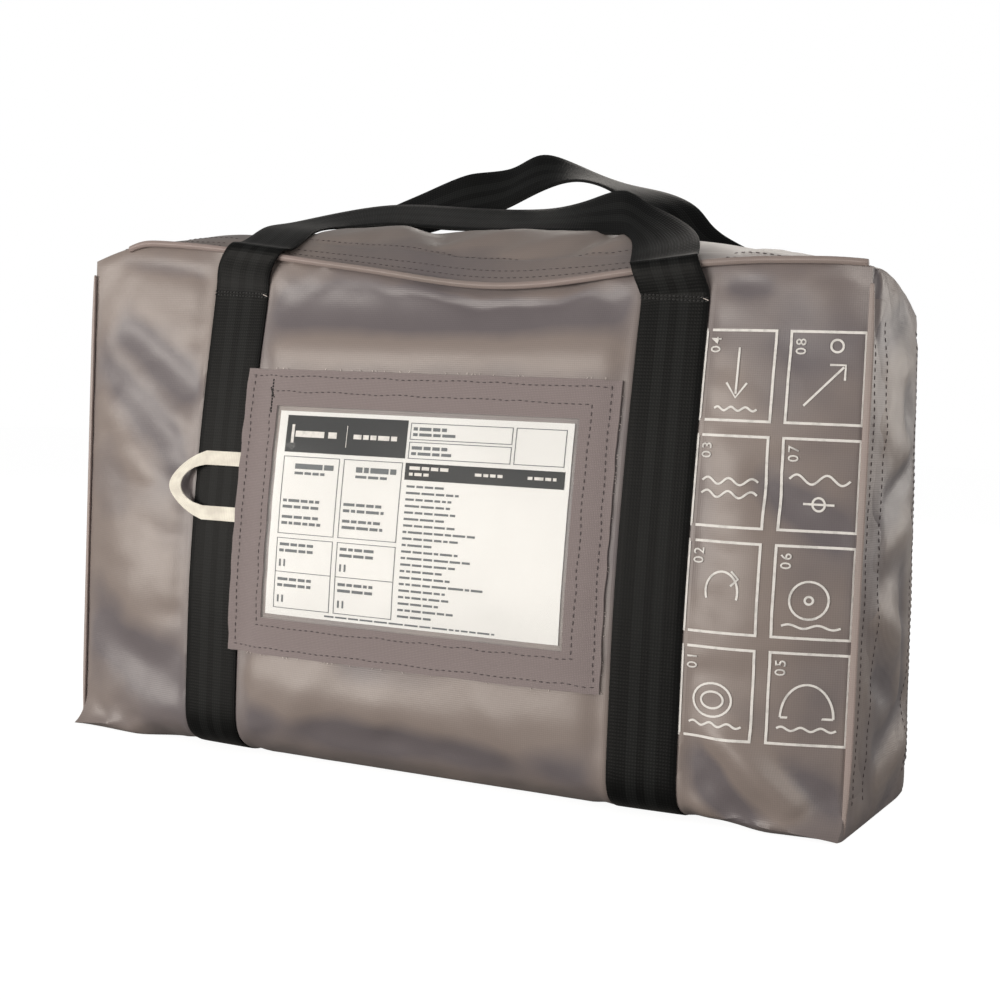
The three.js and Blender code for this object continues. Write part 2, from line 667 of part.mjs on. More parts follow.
// Ruled boxes of the form: one lattice of thin lines.
function ruledLines(xEdges, zEdges) {
  const around = (edges, i) => (i === 0 ? [edges[i], edges[i] + ruleWidth] : [edges[i] - ruleWidth, edges[i]]);
  const xs = stops(xEdges.flatMap((_, i) => around(xEdges, i)), sheetStep);
  const zs = stops(zEdges.flatMap((_, i) => around(zEdges, i)), sheetStep);
  const onLine = (values, edges, i) => edges.some((_, k) => {
    const [from, to] = around(edges, k);
    return values[i] >= from - 1e-6 && values[i + 1] <= to + 1e-6;
  });
  return layer(frontGrid(xs, zs), (i, j) => onLine(xs, xEdges, i) || onLine(zs, zEdges, j),
    inkInner, inkInner + inkThickness);
}

const formBoxes = () => ruledLines(
  [printLeft, (printLeft + listLeft - cardMargin) / 2, listLeft - cardMargin],
  [printBottom, mix(printBottom, bodyTop, 0.27), mix(printBottom, bodyTop, 0.54), bodyTop],
);
const serialBoxes = () => ruledLines(
  [printLeft + headerWidth + cardMargin, mix(printLeft + headerWidth, printRight, 0.68), printRight],
  [printTop - headerHeight, printTop - headerHeight / 2, printTop],
);

// Pull loop: flat tape out of the pocket's side seam, round in a bend and back again.
function pullLoop() {
  const arm = (loopHeight - tapeWidth) / 2;
  const middle = loopBottom + loopHeight / 2;
  const root = pocketLeft - layerGap;
  const bend = root - loopReach + tapeWidth / 2 + arm;
  const path = [];
  for (const x of evenly(root, bend, gridStep / 2)) {
    path.push([x, middle + arm, 1, 0]);
  }
  const bendSteps = 10;
  for (let k = 1; k < bendSteps; k += 1) {
    const angle = Math.PI * (0.5 + k / bendSteps);
    path.push([bend + arm * Math.cos(angle), middle + arm * Math.sin(angle), Math.sin(angle), Math.cos(angle)]);
  }
  for (const x of evenly(bend, root, gridStep / 2)) {
    path.push([x, middle - arm, -1, 0]);
  }
  const rings = path.map(([x, z, alongX, alongZ]) => {
    const away = layerGap + loopStandOff * smooth((root - x) / loopReach);
    const half = tapeWidth / 2;
    const edge = (side) => frontSkin(x + alongZ * half * side, z + alongX * half * side);
    const facing = new THREE.Vector3(0, -1, 0);
    const place = (side, off) => edge(side).addScaledVector(facing, off);
    return [place(-1, away), place(1, away), place(1, away + tapeThickness), place(-1, away + tapeThickness)];
  });
  return loft(rings);
}

// Printed instruction squares

function squareOutline(left, bottom) {
  const xs = stops([left, left + squareLine, left + squareWidth - squareLine, left + squareWidth]);
  const zs = stops([bottom, bottom + squareLine, bottom + squareHeight - squareLine, bottom + squareHeight]);
  const [lastX, lastZ] = [xs.length - 2, zs.length - 2];
  const onEdge = (i, j) => i === 0 || j === 0 || i === lastX || j === lastZ;
  return layer(frontGrid(xs, zs), onEdge, printGap, printGap + inkThickness);
}

// Motif line: a ribbon along a path given in shares of the square, with a width along it.
function motifLineBody(left, bottom, { path, width = () => 1, steps }) {
  const at = (t) => {
    const [u, v] = path(t);
    return [left + u * squareWidth, bottom + v * squareHeight];
  };
  const rings = [];
  for (let k = 0; k <= steps; k += 1) {
    const t = k / steps;
    const [x, z] = at(t);
    const [xa, za] = at(t - 0.004);
    const [xb, zb] = at(t + 0.004);
    const length = Math.hypot(xb - xa, zb - za);
    const half = (motifLine / 2) * width(t);
    const [nx, nz] = [-(zb - za) / length * half, (xb - xa) / length * half];
    const [p, q] = [frontSkin(x - nx, z - nz), frontSkin(x + nx, z + nz)];
    const off = (point, away) => point.clone().add(new THREE.Vector3(0, -away, 0));
    const [near, far] = [layerGap, layerGap + inkThickness];
    rings.push([off(p, near), off(q, near), off(q, far), off(p, far)]);
  }
  return loft(rings);
}

const ringGap = 0.985;
const arrowHead = (from, size) => (t) => (t < from ? 1 : size * (1 - t) / (1 - from) + 0.15);
const ellipse = (u, v, radiusU, radiusV, power = 1) => (t) => {
  const angle = 2 * Math.PI * (t * ringGap + 0.1);
  const bend = (value) => Math.sign(value) * Math.abs(value) ** power;
  return [u + radiusU * bend(Math.cos(angle)), v + radiusV * bend(Math.sin(angle))];
};
const wave = (level, height, turns) => (t) => [mix(0.12, 0.88, t), level + height * Math.sin(2 * Math.PI * turns * t)];

const motifs = [
  { path: ellipse(0.5, 0.42, 0.3, 0.2, 0.45), steps: 32 },
  { path: (t) => [0.3 + 0.4 * t, 0.35 + 0.3 * Math.sin(Math.PI * t)], width: arrowHead(0.75, 4), steps: 16 },
  { path: wave(0.3, 0.05, 2.5), steps: 26 },
  { path: (t) => [0.5, mix(0.8, 0.25, t)], width: arrowHead(0.7, 4.5), steps: 10 },
  { path: (t) => [0.5 - 0.34 * Math.cos(Math.PI * t), 0.25 + 0.42 * Math.sin(Math.PI * t)], steps: 22 },
  { path: ellipse(0.5, 0.45, 0.26, 0.21), steps: 26 },
  { path: wave(0.55, 0.09, 1.5), steps: 22 },
  { path: (t) => [mix(0.2, 0.78, t), mix(0.22, 0.7, t)], width: arrowHead(0.78, 4), steps: 12 },
];

// Bead along the front top edge, in front of it and above.
function topWelt() {
  const radius = weltHeight / 2;
  const away = (radius + layerGap) * Math.SQRT1_2;
  const reach = halfWidth - cornerLength / 4;
  const rings = columnLines.filter((x) => Math.abs(x) < reach).map((x) => {
    const edge = new THREE.Vector3(x, -away, frontEdgeHeight(x) + away);
    return Array.from({ length: weltSides }, (_, k) => {
      const angle = 2 * Math.PI * k / weltSides;
      return edge.clone().add(new THREE.Vector3(0, radius * Math.cos(angle), radius * Math.sin(angle)));
    });
  });
  return loft(rings);
}

// Hem of the front panel, folded back over the top panel behind the bead.
function topHem() {
  const reach = halfWidth - cornerLength;
  const xs = columnLines.filter((x) => Math.abs(x) < reach);
  const ys = [depthLines[1] * 0.25, depthLines[1], depthLines[2] * 0.75];
  const grid = ys.map((y) => xs.map((x) => topSkin(x, y / bagDepth)));
  return layer(grid, whole, layerGap, layerGap + fabricThickness);
}

// Seam flange standing out of an upright edge, with its foot hanging down as a fin.
function seamFlange(side, wall, width, foot) {
  const place = (wall > 0 ? bagDepth : 0) + wall * (flangeThickness / 2 + 2 * layerGap);
  const edge = wall > 0 ? backEdgeHeight : frontEdgeHeight;
  const top = edge(side * halfWidth) - cornerLength / 3;
  const half = flangeThickness / 2;
  const rings = evenly(foot, top, gridStep * 2).map((z) => {
    const share = smooth((z - foot) / cornerLength) * smooth((top - z) / cornerLength + 0.4);
    const narrowed = wall > 0 ? backNarrowing * clamp(z / bagHeight) : 0;
    const near = side * (halfWidth - narrowed + layerGap);
    const far = near + side * width * mix(0.45, 1, share);
    const corner = (x, y) => new THREE.Vector3(x, y, z);
    return [corner(near, place - half), corner(far, place - half), corner(far, place + half), corner(near, place + half)];
  });
  return loft(rings);
}

// The whole valise
const valise = new THREE.Group();

function add(name, geometry, colour, roughness = 0.8) {
  const material = new THREE.MeshStandardMaterial({ color: colour, roughness, metalness: 0 });
  const mesh = new THREE.Mesh(geometry, material);
  mesh.name = name;
  valise.add(mesh);
}

add('packed_valise', packedValise(), colours.fabric, 0.55);
add('front_belt_and_handle', frontBelt(), colours.webbing);
add('back_belt_and_handle', backBelt(), colours.webbing);
add('top_edge_welt', topWelt(), colours.fabricEdge, 0.5);
add('top_hem', topHem(), colours.fabric, 0.55);
for (const [name, side] of [['left', -1], ['right', 1]]) {
  const width = side > 0 ? rightFlangeWidth : leftFlangeWidth;
  add(`${name}_front_flange`, seamFlange(side, -1, width, finFloorGap), colours.fabricEdge, 0.55);
  add(`${name}_back_flange`, seamFlange(side, 1, backFlangeWidth, backFootRadius), colours.fabricEdge, 0.55);
  add(`${name}_gusset_front_band`, gussetBand(side, 0, frontBandWidth), colours.fabricBand, 0.55);
  add(`${name}_gusset_back_band`, gussetBand(side, bagDepth - backBandWidth, bagDepth), colours.fabricBand, 0.55);
}
add('document_pocket', documentPocket(), colours.pocket, 0.6);
add('pocket_window', pocketWindow(), colours.film, 0.15);
add('label_card', labelCard(), colours.card);
add('label_header_block', labelHeader(), colours.darkInk);
add('label_list_bar', labelListBar(), colours.darkInk);
add('label_form_boxes', formBoxes(), colours.greyInk);
add('label_serial_boxes', serialBoxes(), colours.greyInk);
add('pull_loop', pullLoop(), colours.tape);

motifs.forEach((motif, k) => {
  const [column, row] = [Math.floor(k / squareRows), k % squareRows];
  const left = squaresLeft + column * (squareWidth + squareGapX);
  const bottom = squaresBottom + row * (squareHeight + squareGapZ);
  add(`print_square_${k + 1}`, squareOutline(left, bottom), colours.paleInk);
  add(`print_motif_${k + 1}`, motifLineBody(left, bottom, motif), colours.paleInk);
});

// The origin is under the middle of everything, on the floor.
const bounds = new THREE.Box3().setFromObject(valise);
const centre = bounds.getCenter(new THREE.Vector3());
valise.position.set(-centre.x, -centre.y, -bounds.min.z);
valise.updateMatrixWorld(true);

export default valise;
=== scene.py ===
"""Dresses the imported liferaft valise: cloth bag, webbing, pocket, label, print and stitching."""

import math
from contextlib import contextmanager

import bpy
import numpy as np
from mathutils import Matrix, Vector, noise
from mathutils.bvhtree import BVHTree


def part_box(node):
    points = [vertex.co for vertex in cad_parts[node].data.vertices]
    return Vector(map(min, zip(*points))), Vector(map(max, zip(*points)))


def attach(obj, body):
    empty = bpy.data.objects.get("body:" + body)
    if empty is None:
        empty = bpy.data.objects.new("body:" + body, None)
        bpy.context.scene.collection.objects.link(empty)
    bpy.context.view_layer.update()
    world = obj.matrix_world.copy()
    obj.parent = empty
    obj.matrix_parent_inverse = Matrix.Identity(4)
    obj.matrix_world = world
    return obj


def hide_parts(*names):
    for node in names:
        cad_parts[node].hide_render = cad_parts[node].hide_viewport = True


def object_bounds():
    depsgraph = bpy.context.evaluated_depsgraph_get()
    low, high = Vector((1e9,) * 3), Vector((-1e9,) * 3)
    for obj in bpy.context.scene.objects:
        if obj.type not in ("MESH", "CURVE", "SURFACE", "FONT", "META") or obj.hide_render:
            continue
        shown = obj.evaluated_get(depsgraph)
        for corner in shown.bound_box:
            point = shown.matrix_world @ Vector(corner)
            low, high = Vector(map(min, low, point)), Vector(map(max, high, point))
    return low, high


bl_info = {
    "name": "Liferaft Valise",
    "version": (1, 0, 0),
    "blender": (4, 5, 0),
    "location": "View3D > Sidebar > Valise",
    "description": "Builds the cloth, webbing, label, print and stitching of a liferaft valise",
    "category": "Object",
}

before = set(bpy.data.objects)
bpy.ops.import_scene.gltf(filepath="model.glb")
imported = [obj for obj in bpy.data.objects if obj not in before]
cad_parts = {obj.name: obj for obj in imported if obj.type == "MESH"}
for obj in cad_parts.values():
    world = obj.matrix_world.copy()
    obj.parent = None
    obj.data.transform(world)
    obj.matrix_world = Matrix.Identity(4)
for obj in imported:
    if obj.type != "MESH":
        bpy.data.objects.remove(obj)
CAD_BOX = [list(corner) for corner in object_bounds()]
MM = 0.001

# The plane of the front seams: the bag's belly stands 34 mm in front of it.
SEAM_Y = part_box("packed_valise")[0].y + 34 * MM
# Depth of the gusset, and the middles of the belts.
DEPTH = 0.169
BELTS = (-0.175, 0.189)
# Flat pieces start on this plane in front of the bag and are laid on it from there.
AHEAD_Y = -0.3


def linear(code):
    """An sRGB hex colour as linear red, green and blue."""
    values = [int(code[i : i + 2], 16) / 255 for i in (0, 2, 4)]
    return tuple(v / 12.92 if v <= 0.04045 else ((v + 0.055) / 1.055) ** 2.4 for v in values)


def wave(period):
    """Scale of a Wave Texture whose bands are one period apart, in metres."""
    return math.pi / 10 / period


def fade(values, start, end):
    """0 up to the start and 1 from the end on, with a straight slope between them."""
    return np.clip((values - start) / (end - start), 0, 1)


# Settings


def length(name, text, default):
    settings = {"default": default, "unit": "LENGTH", "precision": 4}
    return bpy.props.FloatProperty(name=name, description=text, **settings)


def colour(name, text, code):
    settings = {"default": linear(code), "size": 3, "min": 0, "max": 1, "subtype": "COLOR"}
    return bpy.props.FloatVectorProperty(name=name, description=text, **settings)


class ValiseSizes(bpy.types.PropertyGroup):
    swell: length("Swell limit", "How far the simulated cloth may move", 0.004)
    pressure: bpy.props.FloatProperty(
        name="Pressure", description="Pressure of the pack inside", default=4.0
    )
    stitch_pitch: length("Stitch pitch", "Length of one stitch with its gap", 0.0052)
    thread: length("Thread", "Diameter of the sewing thread", 0.0009)
    print_lift: length("Print lift", "How far the screen print stands off the cloth", 0.0004)


class ValiseColours(bpy.types.PropertyGroup):
    # On the bag body cloth and cloth_shade are blended by fold height and a random cloud: cloth is
    # a painted highlight on the fold crests, cloth_shade a painted shade in the hollows. On the
    # bands and edges they only blend at random.
    cloth: colour("Cloth", "Coated bag cloth where it is stretched or rubbed", "8b807b")
    cloth_shade: colour("Cloth, dark", "Coated bag cloth in its hollows", "6e686b")
    trim: colour("Edge cloth", "Folded cloth at the edges", "9b8c88")
    pocket: colour("Pocket cloth", "Woven cloth of the pocket", "968a8a")
    webbing: colour("Webbing", "Belts and handles", "111212")
    tape: colour("Tape", "Pull loop", "e9e4d8")
    card: colour("Card", "Label card", "f4f5f4")
    dark_ink: colour("Dark ink", "Dark fields of the label", "22262a")
    grey_ink: colour("Grey ink", "Lines and small print of the label", "6c7276")
    pale_ink: colour("Pale ink", "Screen print on the cloth", "ebe9e6")
    dark_thread: colour("Dark thread", "Stitching", "423a3c")
    black_thread: colour("Black thread", "Tacks of the belts", "050506")
    pale_thread: colour("Pale thread", "Frayed cloth ends", "cfc6c0")
    floor: colour("Floor", "Studio floor", "8c8c8c")


def sizes():
    return bpy.context.scene.valise_sizes


def colours():
    return bpy.context.scene.valise_colours


# Modelling helpers


def only(*objects):
    """Selects these objects alone and makes the first one active."""
    bpy.ops.object.select_all(action="DESELECT")
    for obj in objects:
        obj.select_set(True)
    bpy.context.view_layer.objects.active = objects[0]


@contextmanager
def editing(obj):
    """Edit mode on one object, for as long as the block lasts."""
    only(obj)
    bpy.ops.object.mode_set(mode="EDIT")
    yield
    bpy.ops.object.mode_set(mode="OBJECT")


def apply_place(obj):
    only(obj)
    bpy.ops.object.transform_apply(location=True, rotation=True, scale=True)


def apply_modifiers(obj):
    only(obj)
    for modifier in list(obj.modifiers):
        bpy.ops.object.modifier_apply(modifier=modifier.name)


def join(name, objects):
    only(*objects)
    if len(objects) > 1:
        bpy.ops.object.join()
    objects[0].name = name
    objects[0].data.name = name
    return objects[0]


def finish_piece(obj, finish, slot, *nodes):
    """Gives a piece its material and its place on the bag's one body."""
    obj.data.materials.clear()
    obj.data.materials.append(material_of(finish))
    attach(obj, "root")
    if nodes:
        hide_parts(*nodes)
    return obj


def add_object(name, mesh):
    obj = bpy.data.objects.new(name, mesh)
    bpy.context.scene.collection.objects.link(obj)
    return obj


def copy_of_node(node, name):
    """A merged copy of a CAD node's mesh, as a start for its cloth."""
    obj = add_object(name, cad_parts[node].data.copy())
    obj.data.name = name
    only(obj)
    bpy.ops.mesh.customdata_custom_splitnormals_clear()
    with editing(obj):
        bpy.ops.mesh.select_all(action="SELECT")
        bpy.ops.mesh.remove_doubles(threshold=1e-5)
    return obj


def to_quads(obj):
    """Joins the triangles of a CAD copy in pairs, so that it subdivides evenly."""
    limit = math.radians(70)
    with editing(obj):
        bpy.ops.mesh.select_all(action="SELECT")
        bpy.ops.mesh.tris_convert_to_quads(face_threshold=limit, shape_threshold=limit)


def subdivide(obj, levels):
    finer = obj.modifiers.new("Finer", "SUBSURF")
    finer.levels = finer.render_levels = levels
    apply_modifiers(obj)


def crease_of(mesh):
    return mesh.attributes.get("crease_edge") or mesh.attributes.new("crease_edge", "FLOAT", "EDGE")


def mark_seams(obj):
    """Creases the sharp edges, so that they stay crisp in subdivision, and gives their vertices."""
    with editing(obj):
        bpy.ops.mesh.select_mode(type="EDGE")
        bpy.ops.mesh.select_all(action="DESELECT")
        bpy.ops.mesh.edges_select_sharp(sharpness=math.radians(35))
    mesh = obj.data
    seams = [edge.select for edge in mesh.edges]
    crease_of(mesh).data.foreach_set("value", [float(seam) for seam in seams])
    return sorted({v for edge, seam in zip(mesh.edges, seams) if seam for v in edge.vertices})


def points_of(obj, part="co"):
    flat = np.empty(len(obj.data.vertices) * 3)
    obj.data.vertices.foreach_get(part, flat)
    return flat.reshape(-1, 3)


def set_points(obj, points):
    obj.data.vertices.foreach_set("co", np.asarray(points, float).ravel())
    obj.data.update()


def patch(x0, z0, x1, z1, step=0.012):
    """A standing grid in front of the bag, facing it, cut into cells of about one step."""
    across = max(1, math.ceil((x1 - x0) / step))
    up = max(1, math.ceil((z1 - z0) / step))
    bpy.ops.object.select_all(action="DESELECT")
    bpy.ops.mesh.primitive_grid_add(
        x_subdivisions=across,
        y_subdivisions=up,
        size=1,
        location=((x0 + x1) / 2, AHEAD_Y, (z0 + z1) / 2),
        rotation=(math.pi / 2, 0, 0),
    )
    obj = bpy.context.object
    obj.scale = (x1 - x0, z1 - z0, 1)
    apply_place(obj)
    return obj


def thicken(obj, thickness, side):
    solid = obj.modifiers.new("Thickness", "SOLIDIFY")
    solid.thickness = thickness
    solid.offset = side
    apply_modifiers(obj)


def lay_on(obj, target, lift, thickness=0.0):
    """Lays a flat piece from in front of the bag onto a surface, and gives it a thickness."""
    wrap = obj.modifiers.new("Lay", "SHRINKWRAP")
    wrap.target = target
    wrap.wrap_method = "PROJECT"
    wrap.use_project_y = True
    wrap.use_positive_direction = True
    wrap.use_negative_direction = False
    wrap.offset = lift
    apply_modifiers(obj)
    if thickness:
        thicken(obj, thickness, 1)
    return obj


def smooth_shading(obj, angle=60):
    only(obj)
    bpy.ops.object.shade_smooth_by_angle(angle=math.radians(angle))


def skin_tree(obj):
    corners = [v.co.copy() for v in obj.data.vertices]
    return BVHTree.FromPolygons(corners, [tuple(p.vertices) for p in obj.data.polygons])


# Materials


def add_node(tree, kind, inputs=None, **settings):
    """One node with its settings and the values or links of its sockets."""
    made = tree.nodes.new(kind)
    for key, value in settings.items():
        setattr(made, key, value)
    for key, value in (inputs or {}).items():
        if isinstance(value, bpy.types.NodeSocket):
            tree.links.new(value, made.inputs[key])
        else:
            made.inputs[key].default_value = value
    return made


def start_material(name, values):
    material = bpy.data.materials.new(name)
    material.use_nodes = True
    tree = material.node_tree
    tree.nodes.clear()
    shader = add_node(tree, "ShaderNodeBsdfPrincipled", values)
    add_node(tree, "ShaderNodeOutputMaterial", {"Surface": shader.outputs["BSDF"]})
    place = add_node(tree, "ShaderNodeTexCoord").outputs["Object"]
    return material, tree, shader, place


def maths(tree, operation, *values):
    return add_node(tree, "ShaderNodeMath", dict(enumerate(values)), operation=operation).outputs[0]


def ranged(tree, value, **limits):
    """A value moved to other limits, such as from_max or to_min."""
    named = {key.replace("_", " ").title(): limit for key, limit in limits.items()}
    return add_node(tree, "ShaderNodeMapRange", {"Value": value, **named}).outputs["Result"]


def blend(tree, share, first, second):
    sockets = {0: share, 6: first, 7: second}
    return add_node(tree, "ShaderNodeMix", sockets, data_type="RGBA").outputs[2]


def scaled(tree, tone, share):
    sockets = {0: tone, "Scale": share}
    return add_node(tree, "ShaderNodeVectorMath", sockets, operation="SCALE").outputs[0]


def cloud(tree, place, scale, detail):
    values = {"Vector": place, "Scale": scale, "Detail": detail}
    return add_node(tree, "ShaderNodeTexNoise", values).outputs["Fac"]


def ridges(tree, place, period, axis, distortion=0.0):
    """Parallel ridges that are one period apart along an axis."""
    values = {"Vector": place, "Scale": wave(period), "Distortion": distortion}
    return add_node(tree, "ShaderNodeTexWave", values, bands_direction=axis).outputs["Fac"]


def bump(tree, height, strength, distance, below=None):
    """A normal bent by a height, on top of another one if that is given."""
    values = {"Height": height, "Strength": strength, "Distance": distance}
    if below is not None:
        values["Normal"] = below
    return add_node(tree, "ShaderNodeBump", values).outputs["Normal"]


def feed(tree, shader, **sockets):
    """Links sockets to the shader's inputs, given as base_color for Base Color."""
    for key, socket in sockets.items():
        tree.links.new(socket, shader.inputs[key.replace("_", " ").title()])


def dimmed(code, share):
    """A colour times a share, never above white."""
    return tuple(min(1, share * v) for v in code)


def two_tones(tree, place, first, second, scale, low=0.35, high=0.65):
    """A soft cloud of two colours."""
    share = ranged(tree, cloud(tree, place, scale, 3.0), from_min=low, from_max=high)
    return blend(tree, share, (*first, 1), (*second, 1))


def coated_cloth(name, first, second, roughness=0.4, folded=False):
    """Coated nylon: a tight plain weave under a satin coat. With folded, the fold height blends the
    colours too: painted shade, darker in its hollows, and painted highlight, lighter on the crests.
    """
    sheen = {"Sheen Weight": 0.05, "Sheen Roughness": 0.4}
    values = {"Roughness": roughness, "Specular IOR Level": 0.55, **sheen}
    material, tree, shader, place = start_material(name, values)
    share = cloud(tree, place, 7.0, 4.0)
    # Painted light: the fold attribute lightens the crests and darkens the hollows, on top of the
    # random cloud of tone.
    if folded:
        height = add_node(tree, "ShaderNodeAttribute", attribute_name="fold").outputs["Fac"]
        share = maths(tree, "SUBTRACT", maths(tree, "MULTIPLY_ADD", height, 0.8, share), 0.4)
    level = ranged(tree, share, from_min=0.3, from_max=0.66)
    base = blend(tree, level, (*second, 1), (*first, 1))
    # The weave is about 0.5 mm in the real cloth, drawn at 1.5 mm so that it shows.
    threads = [ridges(tree, place, 0.0015, axis, 0.5) for axis in "XZ"]
    weave = maths(tree, "ADD", *threads)
    shade = ranged(tree, weave, from_max=2.0, to_min=0.93, to_max=1.06)
    crumple = cloud(tree, place, 34.0, 4.0)
    soft = bump(tree, crumple, 0.3, 0.0016)
    feed(
        tree,
        shader,
        base_color=scaled(tree, base, shade),
        normal=bump(tree, weave, 0.15, 0.0002, soft),
        roughness=ranged(tree, crumple, to_min=roughness - 0.05, to_max=roughness + 0.08),
    )
    return material


def woven_cloth(name, code):
    """Uncoated plain weave, drawn at 1.2 mm so that its threads show."""
    values = {"Roughness": 0.8, "Sheen Weight": 0.25, "Sheen Roughness": 0.5}
    material, tree, shader, place = start_material(name, values)
    threads = [ridges(tree, place, 0.0012, axis, 0.6) for axis in "XZ"]
    weave = maths(tree, "MULTIPLY", *threads)
    base = blend(tree, weave, (*dimmed(code, 0.72), 1), (*code, 1))
    feed(tree, shader, base_color=base, normal=bump(tree, weave, 0.5, 0.0003))
    return material


def webbing_weave(name, code, gloss, rib, weft, hollow, stripes=True):
    """Webbing: lengthwise ribs crossed by the weft. The belts have two raised, paler stripes."""
    sheen = {"Sheen Weight": 0.03, "Sheen Roughness": 0.4}
    values = {"Roughness": gloss, "Specular IOR Level": 0.12, **sheen}
    material, tree, shader, _ = start_material(name, values)
    run = add_node(tree, "ShaderNodeUVMap", uv_map="webbing").outputs["UV"]
    ribs = ridges(tree, run, rib, "X")
    weave = maths(tree, "MULTIPLY", ribs, ridges(tree, run, weft, "Y", 0.5))
    height = weave
    tone = two_tones(tree, run, code, dimmed(code, 1.25), 70.0)
    if stripes:
        across = add_node(tree, "ShaderNodeSeparateXYZ", {"Vector": run}).outputs["X"]
        # Each stripe is 7.6 mm wide and its middle 7 mm from the belt's.
        stripe = maths(tree, "COMPARE", maths(tree, "ABSOLUTE", across), 0.007, 0.0038)
        height = maths(tree, "MULTIPLY_ADD", stripe, 1.8, weave)
        tone = blend(tree, stripe, tone, (*dimmed(code, 2.3), 1))
    shade = ranged(tree, weave, to_min=hollow, to_max=1.1)
    feed(
        tree, shader, base_color=scaled(tree, tone, shade), normal=bump(tree, height, 0.5, 0.0003)
    )
    return material


def printed_card(name, code):
    """Coated card behind clear film, with a little of the film's shine."""
    coat = {"Coat Weight": 0.1, "Coat Roughness": 0.2}
    values = {"Roughness": 0.55, "Specular IOR Level": 0.3, **coat}
    material, tree, shader, place = start_material(name, values)
    ripple = bump(tree, cloud(tree, place, 14.0, 1.5), 0.2, 0.002)
    base = two_tones(tree, place, code, dimmed(code, 0.94), 9.0)
    feed(tree, shader, base_color=base, coat_normal=ripple)
    return material


def ink(name, code, roughness=0.5, worn=0.75):
    """Ink that has settled into the weave, thinner in places."""
    values = {"Roughness": roughness, "Specular IOR Level": 0.2}
    material, tree, shader, place = start_material(name, values)
    base = two_tones(tree, place, code, dimmed(code, worn), 160.0, low=0.5, high=0.72)
    feed(tree, shader, base_color=base)
    return material


def clear_film(name):
    """Soft clear vinyl: see-through, smooth, with long ripples that catch the light."""
    tint = {"Base Color": (0.9, 0.92, 0.92, 1), "Alpha": 0.05}
    values = {**tint, "Roughness": 0.16, "Specular IOR Level": 0.6}
    material, tree, shader, place = start_material(name, values)
    feed(tree, shader, normal=bump(tree, cloud(tree, place, 11.0, 2.0), 0.5, 0.004))
    return material


def thread_material(name, code):
    """Bonded polyester thread: two plies twisted, a little shiny."""
    values = {"Roughness": 0.55, "Sheen Weight": 0.2}
    material, tree, shader, place = start_material(name, values)
    base = two_tones(tree, place, code, dimmed(code, 1.35), 220.0)
    twist = bump(tree, ridges(tree, place, 0.0011, "DIAGONAL"), 0.4, 0.0003)
    feed(tree, shader, base_color=base, normal=twist)
    return material


def material_of(key):
    """The finish of that name, made once."""
    known = bpy.data.materials.get(key)
    if known:
        return known
    c = colours()
    makers = {
        "Coated nylon": (coated_cloth, c.cloth, c.cloth_shade, 0.4, True),
        "Coated nylon, band": (coated_cloth, c.cloth, c.cloth_shade),
        "Coated nylon, folded edge": (coated_cloth, c.trim, c.cloth, 0.46),
        "Woven pocket nylon": (woven_cloth, c.pocket),
        "Polyester webbing": (webbing_weave, c.webbing, 0.5, 0.0022, 0.0024, 0.55),
        "Cotton tape": (webbing_weave, c.tape, 0.8, 0.0011, 0.0013, 0.9, False),
        "Label card": (printed_card, c.card),
        "Dark label ink": (ink, c.dark_ink, 0.6, 0.9),
        "Grey label ink": (ink, c.grey_ink, 0.6, 0.9),
        "Pale screen ink": (ink, c.pale_ink),
        "Clear vinyl": (clear_film,),
        "Dark polyester thread": (thread_material, c.dark_thread),
        "Black polyester thread": (thread_material, c.black_thread),
        "Pale cloth threads": (thread_material, c.pale_thread),
    }
    make, *values = makers[key]
    return make(key, *values)


# Bag cloth

# Soft folds: start and end as x, z on the front in millimetres, width, and height or depth.
FRONT_FOLDS = (
    (-286, 332, -200, 282, 14, -4.0),
    (-248, 300, -222, 287, 16, -1.6),
    (-306, 301, -231, 246, 12, -2.8),
    (-231, 246, -204, 200, 12, -2.4),
    (-312, 272, -250, 212, 12, 1.8),
    (-195, 362, -188, 360, 8, -2.0),
    (-290, 388, -180, 372, 8, -2.2),
    (-318, 170, -240, 120, 26, 2.0),
    (-300, 78, -215, 56, 19, -4.6),
    (-140, 352, 150, 356, 18, -4.4),
    (-140, 320, 159, 322, 12, 2.2),
    (-145, 66, -20, 56, 16, 2.4),
    (-20, 54, 150, 64, 16, 2.2),
    (-130, 30, 140, 26, 13, -2.8),
    (-60, 90, -110, 20, 12, 1.4),
    (60, 80, 110, 16, 12, 1.6),
    (206, 52, 240, 44, 13, -4.0),
    (236, 30, 262, 4, 10, -5.0),
    (248, 60, 290, 24, 12, 8.5),
    (284, 44, 318, 26, 11, -3.0),
    (222, 14, 244, 4, 10, 2.6),
    (218, 156, 222, 118, 8, 2.2),
    (222, 374, 250, 370, 9, -3.0),
    (262, 236, 314, 206, 13, -4.0),
    (236, 300, 262, 150, 18, 1.6),
)
# The same on the right gusset, as depth from the front seam and height.
# The left one has them upside down.
GUSSET_FOLDS = (
    (14, 394, 6, 342, 6, -10.0),
    (36, 343, 105, 360, 11, -4.5),
    (42, 312, 112, 326, 11, 3.0),
    (96, 292, 118, 280, 13, -4.0),
    (40, 268, 96, 262, 13, 2.6),
    (47, 227, 116, 247, 11, -4.6),
    (44, 198, 122, 212, 11, 3.0),
    (98, 168, 122, 92, 12, -4.0),
    (30, 150, 78, 132, 12, 3.2),
    (40, 104, 88, 84, 11, -4.0),
    (60, 34, 138, 46, 11, 4.0),
    (52, 56, 146, 78, 10, -3.6),
)
